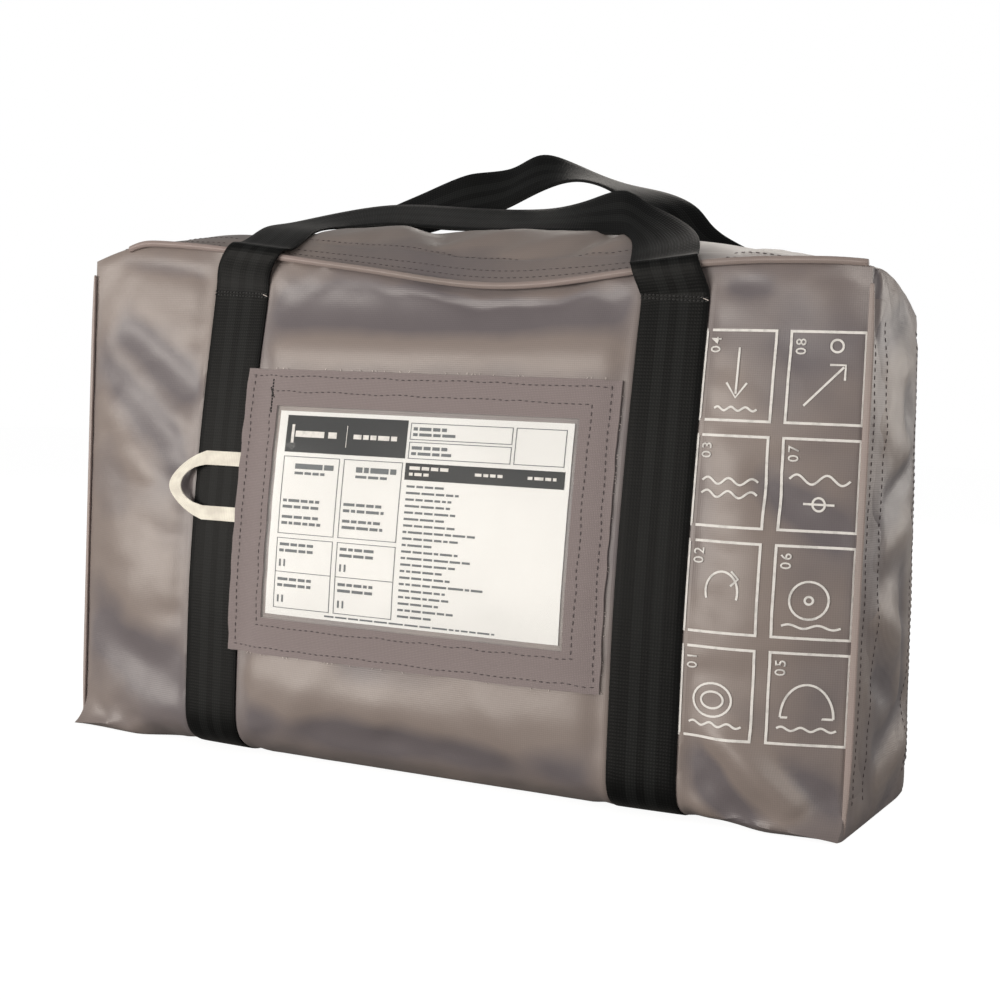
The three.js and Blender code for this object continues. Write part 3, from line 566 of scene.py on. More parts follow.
# The same on top, as x and depth from the front seam.
TOP_FOLDS = (
    (-140, 78, 160, 78, 34, 3.6),
    (-30, 30, 30, 70, 11, 2.4),
    (40, 30, 95, 70, 12, 2.6),
    (110, 30, 135, 80, 10, 2.2),
    (-120, 30, -60, 70, 12, 1.6),
    (-70, 96, 70, 104, 14, -2.6),
)
# Twice the middle height of the gusset, for the left one's folds.
GUSSET_FLIP = 0.386
FOOT = 28 * MM
# The belts lie in grooves of the bag, which end below the top edge.
GROOVE = 2.3 * MM
GROOVE_END = (0.386, 0.364)
BELT_HALF = 25 * MM
GROOVE_EDGE = 34 * MM
BELT_PROUD = 0.9 * MM
CALM_EDGE = 44 * MM
# Height above the floor over which folds and relief begin.
FLOOR_FADE = 6 * MM


SWELL_FRAMES = 20


def ridge_height(a, b, folds):
    """Summed height of straight soft ridges at points a, b in metres."""
    total = np.zeros(len(a))
    for a0, b0, a1, b1, width, high in folds:
        start = np.array([a0, b0]) * MM
        run = np.array([a1 - a0, b1 - b0]) * MM
        offset = np.stack([a, b], 1) - start
        t = np.clip(offset @ run / (run @ run), 0, 1)
        gap = np.linalg.norm(offset - t[:, None] * run, axis=1)
        swell = 0.5 + 0.5 * np.sin(math.pi * (0.15 + 0.7 * t))
        total += high * MM * np.exp(-((gap / (width * MM)) ** 2)) * swell
    return total


def crumple_height(points, scale, seed=0.0):
    shift = Vector((seed, 0, 0))
    return np.array([noise.fractal(Vector(p) * scale + shift, 1.0, 2.0, 3) for p in points])


def gusset_relief(points):
    """How far the end cloth and the bands on it stand out, so that they crumple together."""
    deep = points[:, 1] - SEAM_Y
    height = np.where(points[:, 0] > 0, points[:, 2], GUSSET_FLIP - points[:, 2])
    held = fade(np.minimum(deep, DEPTH - deep), 0, 0.012)
    relief = 0.8 * ridge_height(deep, height, GUSSET_FOLDS) * held
    flat = np.stack([np.sign(points[:, 0]), points[:, 1], points[:, 2]], 1)
    return relief + crumple_height(flat, 16) * 0.0016 * held


def square_foot(points):
    """Towards its lower corners the front panel stays flat down to the floor."""
    x, deep, z = points[:, 0], points[:, 1] - SEAM_Y, points[:, 2]
    share = fade(np.maximum(x - 0.234, -x - 0.220), 0, 0.045)
    share = share**2 * (3 - 2 * share)
    drop = np.clip(FOOT - z, 0, FOOT)
    inward = FOOT - np.sqrt(FOOT**2 - drop**2)
    moved = points.copy()
    moved[:, 1] -= np.where(deep < FOOT * 1.02, inward * share, 0)
    return moved


def belt_gap(points):
    """Distance of each point from the middle of the nearer belt."""
    return np.min([np.abs(points[:, 0] - belt) for belt in BELTS], axis=0)


def belt_trees():
    return [skin_tree(bpy.data.objects[f"{side}_belt_webbing"]) for side in ("front", "back")]


def press_under(points, normals, trees, clear):
    """Moves the cloth that stands in a belt's way below the belt, found by rays from inside."""
    moved = points.copy()
    inside = 8 * MM
    for k in np.nonzero(belt_gap(points) < BELT_HALF + 2 * MM)[0]:
        normal = Vector(normals[k])
        start = Vector(points[k]) - normal * inside
        reaches = [tree.ray_cast(start, normal, 2 * inside)[3] for tree in trees]
        reaches = [reach for reach in reaches if reach is not None and reach < inside + clear]
        if reaches:
            moved[k] = start + normal * (min(reaches) - clear)
    return moved


class VALISE_OT_bag_body(bpy.types.Operator):
    """Bag cloth filled by the pack: subdivided between seams, swelled by pressure, folded"""

    bl_idname = "valise.bag_body"
    bl_label = "Bag body"

    def execute(self, context):
        bag = copy_of_node("packed_valise", "bag_cloth")
        to_quads(bag)
        self.refine(bag)
        self.swell(context, bag)
        self.refine(bag)
        self.fold(bag)
        smooth_shading(bag, 40)
        finish_piece(bag, "Coated nylon", "fabric", "packed_valise")
        return {"FINISHED"}

    def refine(self, bag):
        mark_seams(bag)
        subdivide(bag, 1)

    def swell(self, context, bag):
        rest = points_of(bag)
        held = belt_gap(rest) < GROOVE_EDGE
        held[mark_seams(bag)] = True
        held |= rest[:, 2] < 4 * MM
        pins = bag.vertex_groups.new(name="held")
        pins.add([int(i) for i in np.nonzero(held)[0]], 1.0, "REPLACE")
        cloth = bag.modifiers.new("Cloth", "CLOTH")
        settings = cloth.settings
        settings.quality = 5
        settings.mass = 0.25
        settings.use_pressure = True
        settings.uniform_pressure_force = sizes().pressure
        settings.effector_weights.gravity = 0
        settings.vertex_group_mass = "held"
        settings.shrink_min = -0.012
        settings.bending_stiffness = 1.0
        cloth.point_cache.frame_start = 1
        cloth.point_cache.frame_end = SWELL_FRAMES
        for number in range(1, SWELL_FRAMES + 1):
            context.scene.frame_set(number)
        seen = bag.evaluated_get(context.evaluated_depsgraph_get())
        flat = np.empty(len(rest) * 3)
        seen.data.vertices.foreach_get("co", flat)
        move = flat.reshape(-1, 3) - rest
        bag.modifiers.remove(cloth)
        bag.vertex_groups.clear()
        context.scene.frame_set(1)
        far = np.linalg.norm(move, axis=1)
        limit = sizes().swell
        share = np.where(far > 1e-9, limit * np.tanh(far / limit) / np.maximum(far, 1e-9), 0)
        set_points(bag, rest + move * share[:, None])

    def fold(self, bag):
        set_points(bag, square_foot(points_of(bag)))
        points = points_of(bag)
        normals = points_of(bag, "normal")
        x, z = points[:, 0], points[:, 2]
        deep = points[:, 1] - SEAM_Y
        gap = belt_gap(points)
        front = fade(-normals[:, 1], 0.3, 0.8) * fade(-deep, 0, 4 * MM)
        sides = fade(np.abs(normals[:, 0]), 0.5, 1)
        top = fade(normals[:, 2], 0.5, 1) * (z > 0.3) * fade(deep, 0.026, 0.036)
        back = fade(normals[:, 1], 0.3, 0.8) * fade(deep - DEPTH, 0, 2 * MM)
        calm = np.maximum(fade(np.abs(x), 0.15, 0.18), 0.35)
        wide_folds = crumple_height(points, 11) * 0.0014 * calm
        raised = (ridge_height(x, z, FRONT_FOLDS) + wide_folds) * front
        raised += ridge_height(x, deep, TOP_FOLDS) * top
        raised += crumple_height(points, 17, 4) * 0.0013 * (top + back)
        raised += crumple_height(points, 42, 9) * 0.0004 * (calm * front + top + back)
        raised *= fade(gap, BELT_HALF, BELT_HALF + 18 * MM)
        raised += gusset_relief(points) * sides
        raised *= fade(z, 0, FLOOR_FADE)
        # Fold height from -3 to 3 mm as 0 to 1, for the cloth's painted shade in the hollows and
        # painted highlight on the crests.
        painted_fold_light = bag.data.attributes.new("fold", "FLOAT", "POINT")
        painted_fold_light.data.foreach_set("value", fade(raised, -0.003, 0.003))
        on_wall = fade(z, *GROOVE_END) * (1 - sides)
        reach = (GROOVE_EDGE - gap) / (GROOVE_EDGE - BELT_HALF)
        slope = np.where(gap < GROOVE_EDGE, GROOVE * reach, 0)
        dip = BELT_PROUD * fade(gap, CALM_EDGE, GROOVE_EDGE)
        raised += np.where(gap > BELT_HALF + 0.2 * MM, slope - dip, 0) * on_wall
        points = points + normals * raised[:, None]
        points = press_under(points, normals, belt_trees(), 0.3 * MM)
        low, high = (Vector(corner) for corner in CAD_BOX)
        points[:, 2] = np.clip(points[:, 2], low.z, high.z)
        set_points(bag, points)


# Webbing


def strip_rings(obj, first_ring):
    """Ring number of each vertex of a lofted strip, counted from one end."""
    neighbours = [[] for _ in obj.data.vertices]
    for edge in obj.data.edges:
        a, b = edge.vertices
        neighbours[a].append(b)
        neighbours[b].append(a)
    ring = np.full(len(neighbours), -1)
    front = [int(k) for k in first_ring]
    number = 0
    while front:
        ring[front] = number
        front = sorted({m for k in front for m in neighbours[k] if ring[m] < 0})
        number += 1
    return ring, number


def shape_strip(obj, first_ring, levels, narrow=1.0):
    """Makes a lofted strip smooth along its length, with a map across and along it."""
    ring, count = strip_rings(obj, first_ring)
    points = points_of(obj)
    middles = np.array([points[ring == k].mean(axis=0) for k in range(count)])
    along = np.concatenate([[0], np.cumsum(np.linalg.norm(np.diff(middles, axis=0), axis=1))])
    place = np.zeros((len(points), 2))
    side = None
    for k in range(count):
        members = np.nonzero(ring == k)[0]
        offset = points[members] - middles[k]
        spread = np.linalg.svd(offset, full_matrices=False)[2][0]
        side = -spread if side is not None and spread @ side < 0 else spread
        place[members, 0] = offset @ side
        place[members, 1] = along[k]
        points[members] -= np.outer(offset @ side, side) * (1 - narrow)
    set_points(obj, points)
    layer = obj.data.uv_layers.get("webbing") or obj.data.uv_layers.new(name="webbing")
    corner = np.array([loop.vertex_index for loop in obj.data.loops])
    layer.data.foreach_set("uv", place[corner].ravel())
    widest = np.abs(place[:, 0]).max()
    crease = crease_of(obj.data)
    for edge in obj.data.edges:
        a, b = edge.vertices
        outer = min(abs(place[a, 0]), abs(place[b, 0])) > 0.7 * widest
        lengthwise = ring[a] != ring[b] and abs(place[a, 0] - place[b, 0]) < 0.3 * widest
        if outer and lengthwise:
            crease.data[edge.index].value = 0.8
        if ring[a] == ring[b] and ring[a] in (0, count - 1):
            crease.data[edge.index].value = 1.0
    to_quads(obj)
    subdivide(obj, levels)
    smooth_shading(obj, 50)
    return obj


class VALISE_OT_webbing(bpy.types.Operator):
    """Both belts, each one length of webbing that runs on into its handle"""

    bl_idname = "valise.webbing"
    bl_label = "Belts and handles"

    def execute(self, context):
        belts = (
            ("front_belt_and_handle", "front_belt_webbing", 1),
            ("back_belt_and_handle", "back_belt_webbing", -1),
        )
        for node, name, end_side in belts:
            belt = copy_of_node(node, name)
            points = points_of(belt)
            foot = (points[:, 2] < 0.008) & (points[:, 0] < 0)
            depth = np.where(foot, points[:, 1] * end_side, -1)
            first = np.nonzero(depth > depth.max() - 2e-4)[0]
            shape_strip(belt, first, 2)
            finish_piece(belt, "Polyester webbing", "webbing", node)
        return {"FINISHED"}


class VALISE_OT_pull_loop(bpy.types.Operator):
    """The pale tape loop that stands out from the pocket's edge over the left belt"""

    bl_idname = "valise.pull_loop"
    bl_label = "Pull loop"

    def execute(self, context):
        loop = copy_of_node("pull_loop", "pull_loop_tape")
        points = points_of(loop)
        root = points[:, 0].max() - 2e-4
        upper = points[:, 2] > points[:, 2].mean()
        shape_strip(loop, np.nonzero((points[:, 0] > root) & upper)[0], 3, 0.74)
        points = points_of(loop)
        middle = (points[:, 2].max() + points[:, 2].min()) / 2
        # The bend comes to a soft point, and the ends run on under the pocket.
        past = fade(points[:, 0], -0.188, -0.222)
        points[:, 2] = middle + (points[:, 2] - middle) * (1 - 0.42 * past)
        points[:, 0] += fade(points[:, 0], -0.17, -0.157) * 3 * MM
        set_points(loop, points)
        finish_piece(loop, "Cotton tape", "tape", "pull_loop")
        return {"FINISHED"}


# Edges and gussets


class VALISE_OT_edge_trims(bpy.types.Operator):
    """Rolled top edge, hem, seam flanges and gusset bands"""

    bl_idname = "valise.edge_trims"
    bl_label = "Edge trims"

    def execute(self, context):
        edge = "Coated nylon, folded edge"
        trims = [
            ("top_edge_welt", "rolled_top_edge", edge, "fabric_edge"),
            ("top_hem", "stitched_hem", "Coated nylon, band", "fabric"),
        ]
        for side in ("left", "right"):
            for place in ("front", "back"):
                seam_edge = f"{side}_{place}_seam_edge"
                trims.append((f"{side}_{place}_flange", seam_edge, edge, "fabric_edge"))
                cloth = f"{side}_gusset_{place}_cloth"
                band = f"{side}_gusset_{place}_band"
                trims.append((band, cloth, "Coated nylon, band", "fabric_band"))
        for node, name, finish, slot in trims:
            trim = copy_of_node(node, name)
            to_quads(trim)
            rounding = trim.modifiers.new("Rounding", "BEVEL")
            rounding.width = 0.0004
            rounding.segments = 1
            rounding.limit_method = "ANGLE"
            rounding.angle_limit = math.radians(50)
            subdivide(trim, 2)
            set_points(trim, self.settled(node, points_of(trim)))
            smooth_shading(trim, 60)
            finish_piece(trim, finish, slot, node)
        return {"FINISHED"}

    def settled(self, node, points):
        """The welt reaches its corner, flanges are pulled in, bands crumple with the cloth."""
        side = np.sign(points[:, 0])
        if node == "top_edge_welt":
            past = np.clip(points[:, 0] - 0.25, 0, None)
            points[:, 0] += past * 0.25
            points[:, 2] -= past * 0.03
            points[:, 0] += np.clip(-0.25 - points[:, 0], 0, None) * 0.3
        elif node.endswith("flange"):
            points[:, 0] -= side * (0.0014 if "front" in node else 0.003)
        elif node.endswith("band"):
            points[:, 0] += side * gusset_relief(points)
        return points


# Pocket, window and card

# Rectangles on the front, as left, bottom, right, top in millimetres.
POCKET = (-156.4, 84.5, 157.6, 302.5)
WINDOW = (-123.5, 113.5, 129.5, 273.5)
CARD = (-120.5, 116.0, 126.5, 271.0)


def rectangle(values, grow=0.0):
    left, bottom, right, top = values
    return ((left - grow) * MM, (bottom - grow) * MM, (right + grow) * MM, (top + grow) * MM)


def bag():
    return bpy.data.objects["bag_cloth"]


def bag_with_belts():
    """One throwaway surface of the bag and its front belts, for what lies over both."""
    copies = []
    for name in ("bag_cloth", "front_belt_webbing"):
        copies.append(add_object("ground", bpy.data.objects[name].data.copy()))
    return join("ground", copies)


class VALISE_OT_pocket(bpy.types.Operator):
    """Sewn pocket cloth with its cut window, the clear vinyl behind it and the card"""

    bl_idname = "valise.pocket"
    bl_label = "Document pocket"

    def execute(self, context):
        cloth = patch(*rectangle(POCKET), step=0.004)
        cloth.name = cloth.data.name = "pocket_cloth"
        left, bottom, right, top = rectangle(WINDOW)
        with editing(cloth):
            bpy.ops.mesh.select_mode(type="FACE")
            bpy.ops.mesh.select_all(action="DESELECT")
        for polygon in cloth.data.polygons:
            c = polygon.center
            polygon.select = left < c.x < right and bottom < c.z < top
        with editing(cloth):
            bpy.ops.mesh.delete(type="FACE")
        ground = bag_with_belts()
        lay_on(cloth, ground, 0.0016)
        bpy.data.objects.remove(ground)
        self.ruffle(cloth)
        thicken(cloth, 0.0012, -1)
        smooth_shading(cloth, 50)
        finish_piece(cloth, "Woven pocket nylon", "pocket", "document_pocket")

        film = lay_on(patch(*rectangle(WINDOW, 6)), bag(), 0.0012, 0.0003)
        film.name = film.data.name = "window_vinyl"
        smooth_shading(film)
        finish_piece(film, "Clear vinyl", "film", "pocket_window")

        card = lay_on(patch(*rectangle(CARD)), bag(), 0.0006, 0.0004)
        card.name = card.data.name = "printed_card"
        smooth_shading(card)
        finish_piece(card, "Label card", "card", "label_card")
        return {"FINISHED"}

    def ruffle(self, cloth):
        """The cut cloth lies a little unevenly between its rows of stitches."""
        points = points_of(cloth)
        left, bottom, right, top = rectangle(POCKET)
        for k, point in enumerate(points):
            edge = min(point[0] - left, right - point[0], point[2] - bottom, top - point[2])
            loose = math.exp(-max(edge, 0) / 0.004)
            wave_here = noise.noise(Vector((point[0] * 55, 0.3, point[2] * 55)))
            point[1] -= 0.0006 * loose * (1 + wave_here)
            swell_here = noise.noise(Vector((point[0] * 30, 5.1, point[2] * 30)))
            point[1] -= 0.0003 * (0.5 + 0.5 * swell_here)
            sway = 0.0009 * loose * noise.noise(Vector((point[0] * 70, 9.7, point[2] * 70)))
            point[0] += sway
            point[2] += sway
        set_points(cloth, points)


# Thickness of printed ink, how far it stands off the card, and the reversed print off that.
INK = 0.12 * MM
CARD_LIFT = 0.15 * MM
REVERSED_LIFT = 0.4 * MM


def bars_on(name, rectangles, target, lift, step=0.012):
    """Flat printed rectangles as one piece."""
    parts = [patch(*values, step=step) for values in rectangles]
    return lay_on(join(name, parts), target, lift, INK)


def on_card(u0, v0, u1, v1):
    """A rectangle given in shares of the card, across and down, as x and z in metres."""
    left, bottom, right, top = rectangle(CARD)
    wide, high = right - left, top - bottom
    return (left + u0 * wide, top - v1 * high, left + u1 * wide, top - v0 * high)


def outline_of(u0, v0, u1, v1):
    """Four thin bars round a rectangle, in shares of the card."""
    line = 0.0022
    tall = line * 247 / 155
    return [
        on_card(u0, v0, u1, v0 + tall),
        on_card(u0, v1 - tall, u1, v1),
        on_card(u0, v0 + tall, u0 + line, v1 - tall),
        on_card(u1 - line, v0 + tall, u1, v1 - tall),
    ]


def words(u0, u1, v, high, seed, longest=0.05):
    """A row of short bars, as text looks from afar."""
    bars = []
    u = u0
    k = seed
    while u < u1 - 0.008:
        k = (k * 1103515245 + 12345) % 2147483648
        size = 0.012 + (longest - 0.012) * (k / 2147483648)
        end = min(u + size, u1)
        bars.append(on_card(u, v, end, v + high))
        u = end + 0.006
    return bars


class VALISE_OT_card_print(bpy.types.Operator):
    """The card's fields: plain blocks, boxes and bars in place of any words"""

    bl_idname = "valise.card_print"
    bl_label = "Card print"

    def execute(self, context):
        card = bpy.data.objects["printed_card"]
        header = bars_on("card_header", [on_card(0.03, 0.02, 0.46, 0.2)], card, CARD_LIFT)
        finish_piece(header, "Dark label ink", "dark_ink", "label_header_block")
        bar = bars_on("card_list_bar", [on_card(0.465, 0.22, 0.985, 0.3)], card, CARD_LIFT)
        finish_piece(bar, "Dark label ink", "dark_ink", "label_list_bar")

        light = [on_card(0.065, 0.095, 0.17, 0.125), on_card(0.185, 0.095, 0.215, 0.125)]
        light += [on_card(0.05, 0.065, 0.06, 0.155), on_card(0.25, 0.06, 0.252, 0.165)]
        light += words(0.275, 0.43, 0.1, 0.022, 5, 0.04)
        light += words(0.48, 0.62, 0.235, 0.016, 9, 0.05) + words(0.48, 0.56, 0.265, 0.014, 2, 0.03)
        light += words(0.7, 0.8, 0.25, 0.014, 3, 0.03) + words(0.87, 0.96, 0.25, 0.014, 12, 0.03)
        pale = bars_on("card_reversed_bars", light, card, REVERSED_LIFT)
        finish_piece(pale, "Pale screen ink", "pale_ink")

        boxes = outline_of(0.47, 0.03, 0.81, 0.11)
        boxes += outline_of(0.47, 0.12, 0.81, 0.2)
        boxes += outline_of(0.82, 0.03, 0.98, 0.2)
        fine = words(0.48, 0.6, 0.05, 0.016, 4) + words(0.48, 0.63, 0.078, 0.014, 6)
        fine += words(0.48, 0.6, 0.14, 0.016, 7) + words(0.48, 0.62, 0.168, 0.014, 8)
        marks = bars_on("card_serial_boxes", boxes + fine, card, CARD_LIFT)
        finish_piece(marks, "Grey label ink", "grey_ink", "label_serial_boxes")

        form = []
        for u0, u1 in ((0.03, 0.235), (0.25, 0.455)):
            form += outline_of(u0, 0.22, u1, 0.6)
            form += outline_of(u0, 0.62, u1, 0.965)
            form.append(on_card(u0, 0.785, u1, 0.7885))
            form += words(u0 + 0.045, u1 - 0.02, 0.255, 0.026, 21 + int(u0 * 90), 0.12)
            form += words(u0 + 0.045, u1 - 0.05, 0.295, 0.013, 11 + int(u0 * 90), 0.04)
            for row, (v, seed) in enumerate(((0.43, 3), (0.46, 8), (0.51, 14), (0.54, 17))):
                end = u1 - 0.06 + 0.01 * (row % 2)
                form += words(u0 + 0.012, end, v, 0.014, seed + int(u0 * 50))
            for v, seed in ((0.645, 5), (0.675, 6), (0.815, 9), (0.845, 10)):
                form += words(u0 + 0.012, u1 - 0.07, v, 0.014, seed + int(u0 * 70), 0.05)
            for v in (0.725, 0.9):
                form.append(on_card(u0 + 0.014, v, u0 + 0.02, v + 0.035))
                form.append(on_card(u0 + 0.03, v, u0 + 0.036, v + 0.035))
        for k in range(21):
            v = 0.325 + k * 0.0307
            wide = 0.1 + 0.09 * abs(math.sin(1.7 * k + 0.4)) + (0.12 if k in (7, 11, 15) else 0)
            form += words(0.475, 0.475 + wide, v, 0.0105, 30 + k, 0.05)
        form += words(0.22, 0.8, 0.978, 0.008, 77, 0.05)
        lines = bars_on("card_form_lines", form, card, CARD_LIFT)
        finish_piece(lines, "Grey label ink", "grey_ink", "label_form_boxes")
        return {"FINISHED"}


# Instruction print

SQUARE_WIDTH = 50.85
SQUARE_HEIGHT = 62.9
SQUARE_COLUMNS = (214.3, 273.45)
SQUARE_BOTTOM = 62.6
SQUARE_STEP = 71.5


def ring_path(cx, cz, rx, rz, start=0, turn=360):
    angles = [math.radians(start + turn * k / 28) for k in range(29)]
    return [(cx + rx * math.cos(a), cz + rz * math.sin(a)) for a in angles]


def ripple_path(x0, x1, z, high, waves):
    share = [k / 40 for k in range(41)]
    return [(x0 + (x1 - x0) * t, z + high * math.sin(2 * math.pi * waves * t)) for t in share]


# Plain figures for the squares, in shares of the square's width and height.
FIGURES = (
    [
        ring_path(0.45, 0.42, 0.26, 0.18),
        ring_path(0.45, 0.42, 0.15, 0.09),
        ripple_path(0.14, 0.86, 0.16, 0.02, 3),
    ],
    [ring_path(0.5, 0.45, 0.22, 0.22, 200, -220), [(0.62, 0.68), (0.72, 0.6), (0.62, 0.52)]],
    [ripple_path(0.12, 0.88, 0.5, 0.035, 2.5), ripple_path(0.12, 0.88, 0.36, 0.035, 2.5)],
    [
        [(0.5, 0.8), (0.5, 0.3)],
        [(0.36, 0.42), (0.5, 0.26), (0.64, 0.42)],
        ripple_path(0.2, 0.8, 0.14, 0.02, 3),
    ],
    [
        ring_path(0.5, 0.3, 0.32, 0.36, 0, 180),
        [(0.18, 0.3), (0.82, 0.3)],
        ripple_path(0.14, 0.86, 0.18, 0.02, 3),
    ],
    [
        ring_path(0.46, 0.42, 0.24, 0.2),
        ring_path(0.46, 0.42, 0.05, 0.04),
        ripple_path(0.14, 0.86, 0.14, 0.02, 2),
    ],
    [
        ripple_path(0.12, 0.88, 0.56, 0.05, 2),
        [(0.3, 0.3), (0.7, 0.3)],
        ring_path(0.5, 0.3, 0.08, 0.07),
    ],
    [
        [(0.24, 0.2), (0.72, 0.62)],
        [(0.54, 0.64), (0.74, 0.64), (0.74, 0.48)],
        ring_path(0.62, 0.84, 0.08, 0.065),
    ],
)


def drawn_lines(name, paths, width):
    """Flat ribbons along drawn paths, given as x and z in metres, standing in front of the bag."""
    vertices, faces = [], []
    for path in paths:
        points = [Vector((x, AHEAD_Y, z)) for x, z in path]
        first = len(vertices)
        for k, point in enumerate(points):
            ahead = points[min(k + 1, len(points) - 1)] - points[max(k - 1, 0)]
            side = Vector((-ahead.z, 0, ahead.x)).normalized() * (width / 2)
            vertices += [point + side, point - side]
            if k:
                a = first + 2 * k
                faces.append((a - 2, a - 1, a + 1, a))
    mesh = bpy.data.meshes.new(name)
    mesh.from_pydata([tuple(v) for v in vertices], [], faces)
    obj = add_object(name, mesh)
    with editing(obj):
        bpy.ops.mesh.select_all(action="SELECT")
        bpy.ops.mesh.normals_make_consistent(inside=False)
    if sum(p.normal.y * p.area for p in obj.data.polygons) > 0:
        with editing(obj):
            bpy.ops.mesh.flip_normals()
    return obj


def number_mark(text, x, z, tall):
    """A printed number that reads upwards, as a flat mesh in front of the bag."""
    bpy.ops.object.select_all(action="DESELECT")
    bpy.ops.object.text_add(location=(x, AHEAD_Y, z), rotation=(math.pi / 2, -math.pi / 2, 0))
    obj = bpy.context.object
    obj.data.body = text
    obj.data.size = tall
    obj.data.space_character = 1.25
    obj.data.resolution_u = 3
    obj.data.offset = 0.00012
    bpy.ops.object.convert(target="MESH")
    apply_place(obj)
    return obj


class VALISE_OT_screen_print(bpy.types.Operator):
    """Eight numbered squares with plain figures, printed on the cloth"""

    bl_idname = "valise.screen_print"
    bl_label = "Screen print"

    def execute(self, context):
        lift = sizes().print_lift
        for k in range(8):
            left = SQUARE_COLUMNS[k // 4]
            bottom = SQUARE_BOTTOM + (k % 4) * SQUARE_STEP
            right, top = left + SQUARE_WIDTH, bottom + SQUARE_HEIGHT
            line = 1.8
            frame_bars = [
                rectangle((left, bottom, right, bottom + line)),
                rectangle((left, top - line, right, top)),
                rectangle((left, bottom + line, left + line, top - line)),
                rectangle((right - line, bottom + line, right, top - line)),
            ]
            outline = bars_on(f"square_outline_{k + 1}", frame_bars, bag(), lift, step=0.008)
            ink_name = "Pale screen ink"
            finish_piece(outline, ink_name, "pale_ink", f"print_square_{k + 1}")
            across, up = SQUARE_WIDTH * MM, SQUARE_HEIGHT * MM
            paths = [
                [(left * MM + u * across, bottom * MM + v * up) for u, v in path]
                for path in FIGURES[k]
            ]
            figure = drawn_lines(f"square_figure_{k + 1}", paths, 1.5 * MM)
            number = number_mark(f"0{k + 1}", (left + 11.0) * MM, (top - 16.5) * MM, 0.0098)
            figure = join(f"square_figure_{k + 1}", [figure, number])
            lay_on(figure, bag(), lift, INK)
            finish_piece(figure, ink_name, "pale_ink", f"print_motif_{k + 1}")
        return {"FINISHED"}


# Stitching


def stitch_shape():
    """One stitch: a short rounded thread, one unit long, along X."""
    bpy.ops.object.select_all(action="DESELECT")
    bpy.ops.mesh.primitive_uv_sphere_add(segments=6, ring_count=4, radius=0.5)
    obj = bpy.context.object
    mesh = obj.data.copy()
    bpy.data.objects.remove(obj)
    return mesh


def sew(name, spots, finish="Dark polyester thread", size=None, fill=0.66):
    """Copies one stitch to every spot: middle, direction and surface normal."""
    thread = size or sizes().thread
    model = stitch_shape()
    base = np.array([v.co for v in model.vertices])
    polygons = [tuple(p.vertices) for p in model.polygons]
    vertices, faces = [], []
    for middle, ahead, up, long in spots:
        forward = ahead.normalized()
        aside = up.cross(forward).normalized()
        lift = forward.cross(aside)
        turn = np.array([forward * long * fill, aside * thread, lift * thread * 0.8])
        first = len(vertices)
        vertices += [tuple(v) for v in base @ turn + np.array(middle + up * thread * 0.15)]
        faces += [tuple(first + k for k in polygon) for polygon in polygons]
    mesh = bpy.data.meshes.new(name)
    mesh.from_pydata(vertices, [], faces)
    obj = add_object(name, mesh)
    bpy.data.meshes.remove(model)
    smooth_shading(obj, 180)
    return finish_piece(obj, finish, None)


def walk(path, pitch):
    """Points one pitch apart along a line of points."""
    out = []
    left_over = 0.0
    for a, b in zip(path[:-1], path[1:]):
        run = b - a
        reach = run.length
        t = left_over
        while t < reach:
            out.append((a + run * (t / reach), run / reach))
            t += pitch
        left_over = t - reach
    return out


def seam(trees, path, toward, pitch=None, wobble=0.0):
    """Stitches along a drawn path, dropped on the nearest cloth in one direction."""
    pitch = pitch or sizes().stitch_pitch
    spots = []
    for k, (point, ahead) in enumerate(walk([Vector(p) for p in path], pitch)):
        if wobble:
            stray = noise.noise(Vector((k * 0.35, 1.7, point.z * 9)))
            point = point + toward.cross(ahead) * wobble * stray
        hits = [tree.ray_cast(point, toward) for tree in trees]
        hits = [hit for hit in hits if hit[0] is not None]
        if not hits:
            continue
        spot, normal, _, _ = min(hits, key=lambda hit: hit[3])
        if normal.dot(toward) > 0:
            normal = -normal
        spots.append((spot, ahead - normal * ahead.dot(normal), normal, pitch))
    return spots


def on_front(points):
    return [(x * MM, AHEAD_Y, z * MM) for x, z in points]


